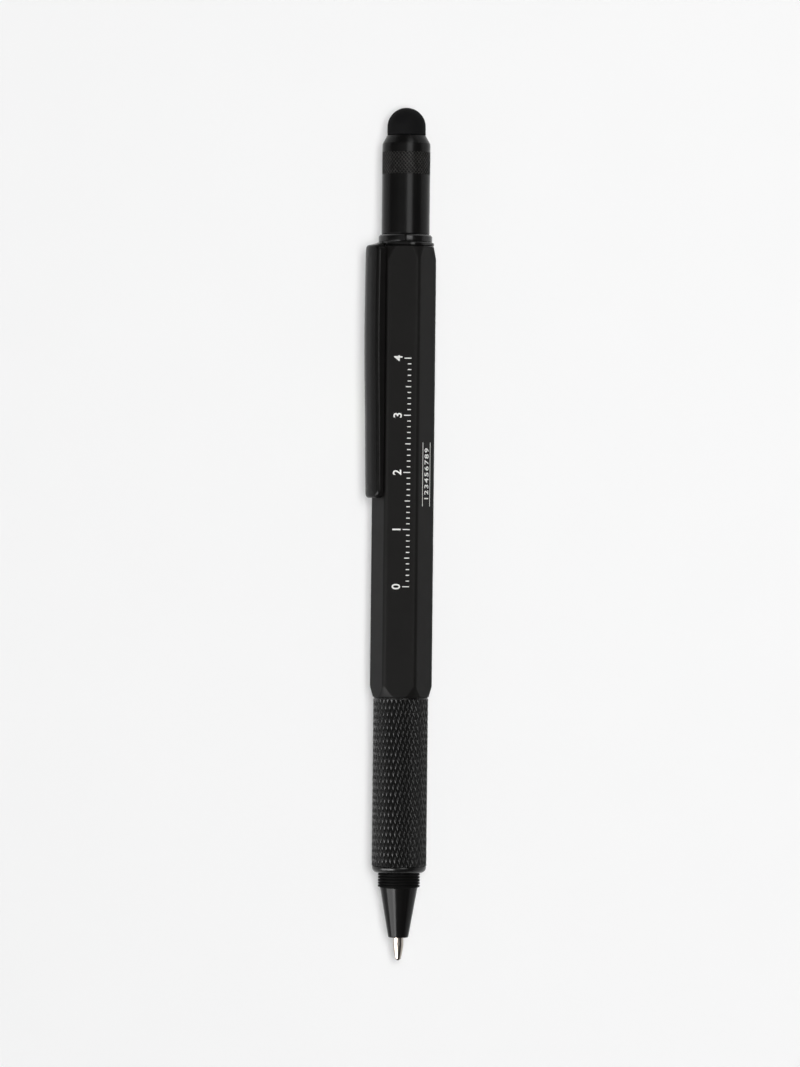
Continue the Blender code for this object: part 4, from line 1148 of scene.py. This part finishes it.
class PEN_OT_tip(bpy.types.Operator):
    """Writing tip of the refill and its ball"""

    bl_idname = "pen.tip"
    bl_label = "Writing tip"

    neck = 0.000925
    taper = 0.0027
    # Share of the neck, share of the taper, rounding
    taper_corners = ((1, 1, 0.002), (0.83, 0.6, 0.002), (0.56, 0.14, 0.0001))
    shoulder_place = 0.001  # above the nose's end
    stem_radius = 0.00057
    ink_bore = 0.00025
    ball_wall, ball_gap = 0.0001, 0.00003
    seat_depth = 0.00006
    ball_steps = 16

    def execute(self, context):
        tone = colours().tip_steel
        ball = (ball_top - ball_bottom) / 2
        corners = [
            (self.stem_radius, tip_top, SMALL_ROUND),
            (self.stem_radius, tube_bottom, 0),
            (refill_radius, tube_bottom, SMALL_ROUND),
            (refill_radius, nose_end + self.shoulder_place, SMALL_ROUND),
            (self.neck, nose_end, 0),
        ]
        for across, along, rounding in self.taper_corners:
            corners.append((self.neck * across, tip_place + self.taper * along, rounding))
        corners += [
            (ball + self.ball_wall, tip_bottom, 0.5 * SMALL_ROUND),
            (ball + self.ball_gap, tip_bottom, 0),
            (ball + self.ball_gap, ball_top, 0),
            (self.ink_bore, ball_top + self.seat_depth, 0),
            (self.ink_bore, tip_top, 0),
        ]
        material = bright_steel("turned_steel", tone, roughness=0.12, stretch=TURNED, lines=0.04)
        edit = turned(rounded(corners), 2 * SMALL_SIDES)
        add_piece("writing_tip", edit, material, "refill", "refill_tip")
        material = bright_steel("polished_ball", shade(tone, 0.4), roughness=0.1, stretch=TURNED, lines=0.02)
        edit = turned(oval(ball, ball_bottom, ball_top, self.ball_steps), SMALL_SIDES)
        add_piece("writing_ball", edit, material, "refill", "refill_ball")
        return {"FINISHED"}


class PEN_OT_cap(bpy.types.Operator):
    """Cap with its knurled band, and the rubber dome of the stylus"""

    bl_idname = "pen.cap"
    bl_label = "Cap and stylus"

    knurl_place, knurl_length = 0.00294, 0.0039  # below the cap's top
    shoulder_share, shoulder_round = 1.35, 0.0004  # where the shoulder's foot meets the cap
    bore_grooves = 5
    # The cap's ridge tint is partly wear and partly painted highlight: lighter ridges that stand for the
    # glints of the knurls.
    wear_depths, wear_share, wear_brightness = (0.25, 0.05), 0.85, 1.6  # depths as shares
    dome_wall, dome_lip = 0.0006, 0.00075
    outer_steps, inner_steps = 28, 16  # of the dome's quarter turns

    def execute(self, context):
        self.add_cap(sizes(), colours())
        self.add_dome()
        return {"FINISHED"}

    def add_cap(self, s, c):
        """Turned cap with grooves in its bore."""
        high = cap_top - self.knurl_place
        low = high - self.knurl_length
        corners = [
            (core_bore, cap_top, 0),
            (s.cap_top_diameter / 2, cap_top, SMALL_ROUND),
            (cap_radius - WELL, cap_top - s.cap_shoulder, SOFT_ROUND),
            (cap_radius, cap_top - self.shoulder_share * s.cap_shoulder, self.shoulder_round),
            (cap_radius, high + SOFT_ROUND, 0),
        ]
        above = [
            (core_bore, cap_bore_top),
            (core_bore, cap_top - SMALL_ROUND),
            (core_bore + SMALL_ROUND, cap_top),
            *rounded(corners, closed=False)[1:],
        ]
        middle = EDGE_ROUND * ROUND_MIDDLE
        below = [
            (cap_radius, low - SOFT_ROUND),
            (cap_radius, cap_bottom + EDGE_ROUND),
            (cap_radius - middle, cap_bottom + middle),
            (cap_radius - EDGE_ROUND, cap_bottom),
            (cap_bore + 2 * EDGE_ROUND, cap_bottom),
            (cap_bore, cap_bottom + 2 * EDGE_ROUND),
        ]
        for row in range(self.bore_grooves * THREAD_STEPS + 1):
            deep = s.thread_depth / 2 * (0.5 - 0.5 * cos(2 * pi * row / THREAD_STEPS))
            place = cap_bottom + 3 * EDGE_ROUND + s.thread_pitch * row / THREAD_STEPS
            below.append((cap_bore + deep, place))
        below.append((cap_bore, cap_bore_top))
        counts = (s.cap_rows, s.cap_diamonds)
        edit = knurled(above, below, cap_radius, s.cap_depth, (low, high), counts, SUNK_DIAMOND)
        smooth = black_anodise("anodised_cap", c.turned_black, roughness=0.22, specular=0.135, lines=0.2)
        cap = add_piece("turned_cap", edit, smooth, "cap", "stylus_cap", sharp=radians(15))
        # Ridge tint of the band: wear, and painted highlight that lights the lattice of ridges all round.
        wear = [cap_radius - depth * s.cap_depth for depth in self.wear_depths]
        wear += [self.wear_share, shade(c.worn_edge, self.wear_brightness)]
        rubbing_and_highlight = black_anodise("anodised_knurls_wear_and_highlight", c.turned_black, roughness=0.24, specular=0.06, wear=wear)
        finish_band(cap, rubbing_and_highlight, low, high)

    def add_dome(self):
        """Hollow rubber dome with its lip."""
        straight = dome_top - dome_radius
        inner = dome_radius - self.dome_wall
        lip_top = dome_bottom + self.dome_lip
        profile = [
            (0, dome_top),
            *arc((0, straight), (dome_radius, dome_radius), 90, 0, self.outer_steps)[1:],
            (dome_radius, dome_bottom + EDGE_ROUND),
            (dome_radius - EDGE_ROUND, dome_bottom),
            (core_bore, dome_bottom),
            (core_bore, lip_top),
            (inner, lip_top),
            *arc((0, straight), (inner, inner), 0, 90, self.inner_steps)[:-1],
            (0, dome_top - self.dome_wall),
        ]
        add_piece("rubber_dome", turned(profile), soft_rubber("silicone_dome"), "cap", "stylus_dome")


class PEN_OT_clip(bpy.types.Operator):
    """Pocket clip: plate under the lock ring and pressed spring arm"""

    bl_idname = "pen.clip"
    bl_label = "Clip"

    plate_inset, plate_round = 0.00005, 0.0032
    edge_round = 0.0005
    end_round, least_round = 0.0012, 0.0004
    face_height = 0.00185  # above the arm's lower edge
    crown = 0.0005
    bow = 0.00012
    droop, droop_power = 0.0004, 1.5
    bend_share = 0.67  # of the arm's length, for the bow at one end and the droop at the other
    ridge_width = 0.0012
    tab_half_width = 0.0012
    tab_fade = 0.0008
    tab_length, tab_depth = 0.002, 0.0005
    root_length, bend_length = 0.0004, 0.006  # what stays with the plate, and what bends

    def execute(self, context):
        s, c = sizes(), colours()
        outer = hexagon(apothem - self.plate_inset, self.plate_round)
        inner = hexagon(apothem - self.plate_inset - SOFT_ROUND, self.plate_round - SOFT_ROUND)
        hole = [tuple(Vector(point).normalized() * band_bore) for point in outer]
        rings = [
            level_ring(hole, band_top),
            level_ring(inner, band_top),
            level_ring(outer, band_top - SOFT_ROUND),
            level_ring(outer, band_bottom + SOFT_ROUND),
            level_ring(inner, band_bottom),
            level_ring(hole, band_bottom),
        ]
        glossy = coated_steel("coated_plate", c.turned_black, roughness=0.14, specular=0.2)
        add_piece("clip_plate", tidy(loft(rings)), glossy, "barrel", "clip_band")
        arm = link_mesh("blank", self.pressing(s))
        sheet = arm.modifiers.new("sheet", "SOLIDIFY")
        sheet.thickness = s.clip_sheet
        sheet.offset = -1
        edit = tidy(evaluated(arm))
        material = coated_steel("coated_clip", c.clip_black)
        piece = add_piece("clip_spring", edit, material, "clip", "clip_arm", rides=False)
        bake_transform(piece)
        return {"FINISHED"}

    def outline(self, s, inset):
        """(across, along) points around the arm from the middle of its top, inset from its edge."""
        half_width = s.clip_width / 2 - inset
        corner = max(self.end_round - inset, self.least_round)
        near, far = inset, clip_length - inset
        flat = half_width - corner
        half = [(flat * k / ARC_STEPS, near) for k in range(ARC_STEPS)]
        half += arc((flat, near + corner), (corner, corner), -90, 0, ARC_STEPS)
        for bay in range(1, CLIP_BAYS):
            half.append((half_width, near + corner + (far - near - 2 * corner) * bay / CLIP_BAYS))
        half += arc((flat, far - corner), (corner, corner), 0, 90, ARC_STEPS)
        half.append((0, far))
        return half + [(-across, along) for across, along in half[-2:0:-1]]

    def point(self, across, place, height):
        """Point of the arm at a height above its lower edge."""
        return spot(clip_root + height, CLIP_FACE, place) + across * sideways(CLIP_FACE)

    def face_ring(self, s, inset, drop):
        """Points around the arm, inset from its outline, drop below its outer face."""
        ring = []
        for across, along in self.outline(s, inset):
            way = along / clip_length
            bow = self.bow * sin(pi * min(1, way / self.bend_share))
            droop = self.droop * max(0, 1 - (1 - way) / self.bend_share) ** self.droop_power
            crown = self.crown * (2 * across / s.clip_width) ** 2
            height = self.face_height + bow - droop - crown - drop
            ring.append(self.point(across, clip_top - along, height))
        return ring

    def lower_ring(self, s):
        """Points around the arm's lower edge, with a tab at its top that joins the plate."""
        rise = band_top - clip_top - SMALL_ROUND
        ring = []
        for across, along in self.outline(s, 0):
            beside = min(1, max(0, (abs(across) - self.tab_half_width) / self.tab_fade))
            tab = 1 - beside * beside * (3 - 2 * beside) if along < clip_length / 2 else 0
            fade = max(0, 1 - along / self.tab_length)
            ring.append(self.point(across, clip_top - along + rise * tab * fade, -self.tab_depth * tab))
        return ring

    def pressing(self, s):
        """Outer surface of the arm, open towards the barrel."""
        rings = [self.lower_ring(s)]
        for step in range(CLIP_EDGE_STEPS + 1):
            turn = pi / 2 * step / CLIP_EDGE_STEPS
            inset, drop = self.edge_round * (1 - cos(turn)), self.edge_round * (1 - sin(turn))
            rings.append(self.face_ring(s, inset, drop))
        crown_width = (s.clip_width - self.ridge_width) / 2 - self.edge_round
        for step in range(1, CLIP_CROWN_STEPS + 1):
            inset = self.edge_round + crown_width * step / CLIP_CROWN_STEPS
            rings.append(self.face_ring(s, inset, 0))
        edit = loft(rings, loop=False)
        ridge = list(edit.verts)[-len(rings[-1]) :]
        for k in range(len(ridge) // 2):
            corners = [ridge[k], ridge[k + 1], ridge[-k - 1], ridge[-k % len(ridge)]]
            edit.faces.new(list(dict.fromkeys(corners)))
        bmesh.ops.recalc_face_normals(edit, faces=edit.faces)
        return edit


class PEN_OT_holder(bpy.types.Operator):
    """Bit holder with its thread and hexagonal socket, and the split lock ring"""

    bl_idname = "pen.holder"
    bl_label = "Bit holder and lock ring"

    thread_low, thread_high = 0.0004, 0.0006  # plain lengths under and above the thread
    stub_round = 0.00005
    socket_flat, socket_round = 0.00225, 0.0003
    gap = 0.00025  # around the bit and the magnet
    mouth_depth = 0.0002
    split_width = 0.00035

    def execute(self, context):
        s, c = sizes(), colours()
        tone = c.anodised
        material = black_anodise("anodised_holder", tone, roughness=0.34, specular=0.1, lines=0.3)
        edit = self.socket(self.stub(s))
        add_piece("threaded_holder", edit, material, "barrel", "bit_holder", sharp=radians(30))
        material = coated_steel("coated_ring", c.turned_black, roughness=0.16, specular=0.29)
        add_piece("split_ring", self.split_ring(), material, "barrel", "lock_ring")
        return {"FINISHED"}

    def stub(self, s):
        """Threaded stub over the plug that sits in the barrel."""
        low, high = ring_top + self.thread_low, stub_top - self.thread_high
        rings = [circle(0, stub_top), circle(stub_radius - CHAMFER, stub_top)]
        rings.append(circle(stub_radius, stub_top - CHAMFER))
        rings += thread_rings(low, high, stub_radius, s.thread_depth, s.thread_pitch)
        profile = [
            (stub_radius, barrel_top + self.stub_round),
            (seat_radius - EDGE_ROUND, barrel_top),
            (seat_radius, barrel_top - EDGE_ROUND),
            (seat_radius, holder_bottom + CHAMFER),
            (seat_radius - CHAMFER, holder_bottom),
            (0, holder_bottom),
        ]
        return tidy(loft(rings + [circle(*point) for point in profile], loop=False))

    def socket(self, edit):
        """Cut the hexagonal socket, its mouth and the magnet's pocket."""
        top, floor = stub_top + OVERRUN, bit_bottom
        edit = cut(edit, prism(hexagon(self.socket_flat, self.socket_round), floor, top))
        mouth, low = bit_radius + self.gap, stub_top - self.mouth_depth
        profile = [(0, top), (mouth + OVERRUN, top), (mouth - self.mouth_depth, low), (0, low)]
        edit = cut(edit, turned(profile))
        pocket = magnet_radius + self.gap
        low, high = magnet_bottom - self.gap, floor + OVERRUN
        return cut(edit, turned([(0, high), (pocket, high), (pocket, low), (0, low)], SMALL_SIDES))

    def split_ring(self):
        """Lock ring with its slit."""
        corners = [
            (band_bore, ring_top, SOFT_ROUND),
            (ring_radius - CHAMFER, ring_top, SOFT_ROUND),
            (ring_radius, ring_top - CHAMFER, SOFT_ROUND),
            (ring_radius, ring_bottom, EDGE_ROUND),
            (band_bore, ring_bottom, 0),
        ]
        profile = rounded(corners)
        slit = self.split_width / ring_radius
        rings = []
        for k in range(TURNING_SIDES + 1):
            turn = RING_SPLIT + slit / 2 + (2 * pi - slit) * k / TURNING_SIDES
            rings.append([spot(radius, turn, place) for radius, place in profile])
        return solid_loft(rings)


class PEN_OT_bit(bpy.types.Operator):
    """Double-ended screwdriver bit and its magnet"""

    bl_idname = "pen.bit"
    bl_label = "Bit"

    flats = 0.004
    flats_round = 0.0003
    blade_length, blade_width, blade_thickness = 0.0035, 0.0028, 0.0006
    blade_runout, blade_root = 0.0015, 0.0016  # where the blade's flats leave the shank
    cross_length, cross_radius, cross_end, cross_web = 0.003, 0.0015, 0.0005, 0.0003
    flutes, flute_half_angle, flute_runout = 4, 0.8, 0.0006
    shoulder = 0.0008
    groove_width, groove_radius = 0.0008, 0.00198
    end_round, shoulder_round, foot_round = 0.0001, 0.0003, 0.0002
    cutter_reach, cutter_height = 0.004, 0.006

    def execute(self, context):
        tone = colours().steel
        edit = prism(hexagon(self.flats / 2, self.flats_round), bit_bottom, bit_top)
        edit = cut(edit, turned(rounded(self.profile(), closed=False)), "INTERSECT")
        for k in range(self.flutes):
            edit = cut(edit, self.flute(2 * pi * (k + 0.5) / self.flutes))
        for side in (1, -1):
            edit = cut(edit, self.blade_cutter(side))
        material = bright_steel("hardened_steel", shade(tone, 0.8), roughness=0.28, stretch=DRAWN)
        add_piece("tool_bit", edit, material, "bit", "screwdriver_bit", sharp=radians(30))
        corners = [
            (0, magnet_top, 0),
            (magnet_radius, magnet_top, self.foot_round),
            (magnet_radius, magnet_bottom, self.foot_round),
            (0, magnet_bottom, 0),
        ]
        material = bright_steel("plated_magnet", tone, roughness=0.18, stretch=TURNED, lines=0.1)
        edit = turned(rounded(corners, closed=False), SMALL_SIDES)
        add_piece("socket_magnet", edit, material, "barrel", "bit_magnet")
        return {"FINISHED"}

    def profile(self):
        """(radius, place, rounding) corners that the hexagonal shank is turned to, from its top."""
        corner = self.flats / 2 * CORNER_SHARE
        middle = (bit_bottom + bit_top) / 2
        cross_foot, blade_foot = bit_top - self.cross_length, bit_bottom + self.blade_length
        return [
            (0, bit_top, 0),
            (self.cross_end, bit_top, self.end_round),
            (self.cross_radius, cross_foot, self.shoulder_round),
            (corner, cross_foot - self.shoulder, self.foot_round),
            (corner, middle + self.groove_width, 0),
            (self.groove_radius, middle + self.groove_width / 2, self.end_round),
            (self.groove_radius, middle - self.groove_width / 2, self.end_round),
            (corner, middle - self.groove_width, 0),
            (corner, blade_foot + self.shoulder, self.foot_round),
            (self.blade_width / 2, blade_foot, self.shoulder_round),
            (self.blade_width / 2, bit_bottom, 0),
            (0, bit_bottom, 0),
        ]

    def flute(self, direction):
        """V-shaped flute of the cross point, deeper towards its end."""
        ends = (
            (bit_top + OVERRUN, self.cross_web),
            (bit_top - self.cross_length - OVERRUN, self.cross_radius + self.flute_runout),
        )
        rings = []
        for place, depth in ends:
            apex = spot(depth, direction, place)
            turns = (self.flute_half_angle, -self.flute_half_angle)
            rings.append([apex] + [apex + self.cutter_reach * outwards(direction + turn) for turn in turns])
        return solid_loft(rings)

    def blade_cutter(self, side):
        """Wedge that leaves one flat of the blade."""
        ends = (
            (bit_bottom - OVERRUN, self.blade_thickness / 2),
            (bit_bottom + self.blade_length + self.blade_runout, self.blade_root),
        )
        wide, high = self.cutter_reach, side * self.cutter_height
        rings = []
        for place, depth in ends:
            outline = [(-wide, side * depth), (wide, side * depth), (wide, high), (-wide, high)]
            rings.append(level_ring(outline, place))
        return solid_loft(rings)


class PEN_OT_level(bpy.types.Operator):
    """Vial, liquid, marks and bubble of the level"""

    bl_idname = "pen.level"
    bl_label = "Bubble level"

    end_round, mouth_round, lip_round, floor_round = 0.0005, 0.00015, 0.00005, 0.0002
    liquid_gap, liquid_round = 0.00002, 0.0001
    bubble_steps = 24
    line_half_width, line_film = 0.00022, 0.00003
    line_gap = 0.0003  # from the bubble's end to a line's middle

    def execute(self, context):
        c = colours()
        corners = [
            (0, vial_bottom, 0),
            (vial_radius, vial_bottom, self.end_round),
            (vial_radius, vial_top, self.mouth_round),
            (vial_bore, vial_top, self.lip_round),
            (vial_bore, vial_floor, self.floor_round),
            (0, vial_floor, 0),
        ]
        material = clear("clear_vial", c.vial, transmission=1.0, roughness=0.03, ior=1.49)
        edit = turned(rounded(corners, closed=False), 2 * SMALL_SIDES)
        add_piece("clear_vial", edit, material, "barrel", "level_vial")
        gap = self.liquid_gap
        radius, low, high = vial_bore - gap, vial_floor + gap, plug_bottom - gap
        corners = [
            (0, high, 0),
            (radius, high, self.liquid_round),
            (radius, low, self.floor_round),
            (0, low, 0),
        ]
        # The liquid glows with painted light, which stands for the light that reaches it inside the dark
        # window.
        material = clear("level_liquid", c.liquid, transmission=0.8, roughness=0.03, ior=1.36, glow=0.25)
        edit = turned(rounded(corners, closed=False), 2 * SMALL_SIDES)
        add_piece("vial_liquid", edit, material, "barrel", "level_vial", stands=False)
        # The bubble glows more strongly: painted light that makes it paler than the liquid around it.
        material = clear("bubble_air", c.bubble, transmission=0.5, roughness=0.02, ior=1.1, glow=0.7)
        edit = turned(oval(bubble_radius, bubble_bottom, bubble_top, self.bubble_steps), SMALL_SIDES)
        add_piece("air_bubble", edit, material, "bubble", "level_bubble")
        material = printed("black_line", c.plastic)
        for name, place in (
            ("upper_line", bubble_top + self.line_gap),
            ("lower_line", bubble_bottom - self.line_gap),
        ):
            add_piece(name, self.line(place), material, "barrel", "level_plug", stands=False)
        return {"FINISHED"}

    def line(self, place):
        """Printed line around the vial."""
        inner, outer = vial_radius - self.line_film, vial_radius + self.line_film
        low, high = place - self.line_half_width, place + self.line_half_width
        return turned([(inner, high), (outer, high), (outer, low), (inner, low)], 2 * SMALL_SIDES)


class PEN_OT_inside(bpy.types.Operator):
    """Finishes of the CAD pieces that stay: twist mechanism, refill, level holder and stylus core"""

    bl_idname = "pen.inside"
    bl_label = "Inner pieces"

    def execute(self, context):
        c = colours()
        brass = bright_steel("turned_brass", c.brass, roughness=0.3, stretch=TURNED)
        finishes = {
            "barrel_bush": brass,
            "guide_tube": brass,
            "cam_sleeve": brass,
            "refill_tube": bright_steel("drawn_brass", c.brass, roughness=0.25, stretch=DRAWN),
            "cam_pin": bright_steel("ground_steel", c.steel, roughness=0.2, stretch=DRAWN),
            "level_holder": moulded("moulded_holder", c.plastic),
            "level_plug": moulded("moulded_plug", c.plastic),
            "stylus_core": moulded("moulded_core", c.plastic),
            "refill_carrier": moulded("moulded_carrier", c.natural),
            "twist_o_ring": soft_rubber("ring_rubber"),
        }
        for name, material in finishes.items():
            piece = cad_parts[name]
            piece.data.materials.clear()
            piece.data.materials.append(material)
        return {"FINISHED"}


OPERATORS = (
    PEN_OT_stage,
    PEN_OT_barrel,
    PEN_OT_marks,
    PEN_OT_grip,
    PEN_OT_nose,
    PEN_OT_tip,
    PEN_OT_cap,
    PEN_OT_clip,
    PEN_OT_holder,
    PEN_OT_bit,
    PEN_OT_level,
    PEN_OT_inside,
)


class PEN_PT_panel(bpy.types.Panel):
    """Pen's operators, sizes and colours"""

    bl_idname = "PEN_PT_panel"
    bl_label = "Multi tool pen"
    bl_space_type = "VIEW_3D"
    bl_region_type = "UI"
    bl_category = "Pen"

    def draw(self, context):
        for operator in OPERATORS:
            self.layout.operator(operator.bl_idname)
        for group in (context.scene.pen_sizes, context.scene.pen_colours, context.scene.pen_stage):
            box = self.layout.box()
            for name in group.bl_rna.properties.keys():
                if name not in ("rna_type", "name"):
                    box.prop(group, name)


CLASSES = (PenSizes, PenColours, PenStage, *OPERATORS, PEN_PT_panel)


def register():
    """Register the classes and hang the property groups on the scene."""
    for item in CLASSES:
        bpy.utils.register_class(item)
    bpy.types.Scene.pen_sizes = bpy.props.PointerProperty(type=PenSizes)
    bpy.types.Scene.pen_colours = bpy.props.PointerProperty(type=PenColours)
    bpy.types.Scene.pen_stage = bpy.props.PointerProperty(type=PenStage)


def unregister():
    """Undo register."""
    del bpy.types.Scene.pen_stage
    del bpy.types.Scene.pen_colours
    del bpy.types.Scene.pen_sizes
    for item in reversed(CLASSES):
        bpy.utils.unregister_class(item)


def main():
    """Build the pen and its stage."""
    register()
    for operator in OPERATORS:
        group, name = operator.bl_idname.split(".")
        getattr(getattr(bpy.ops, group), name)()
    bpy.context.view_layer.update()


if __name__ == "__main__":
    main()
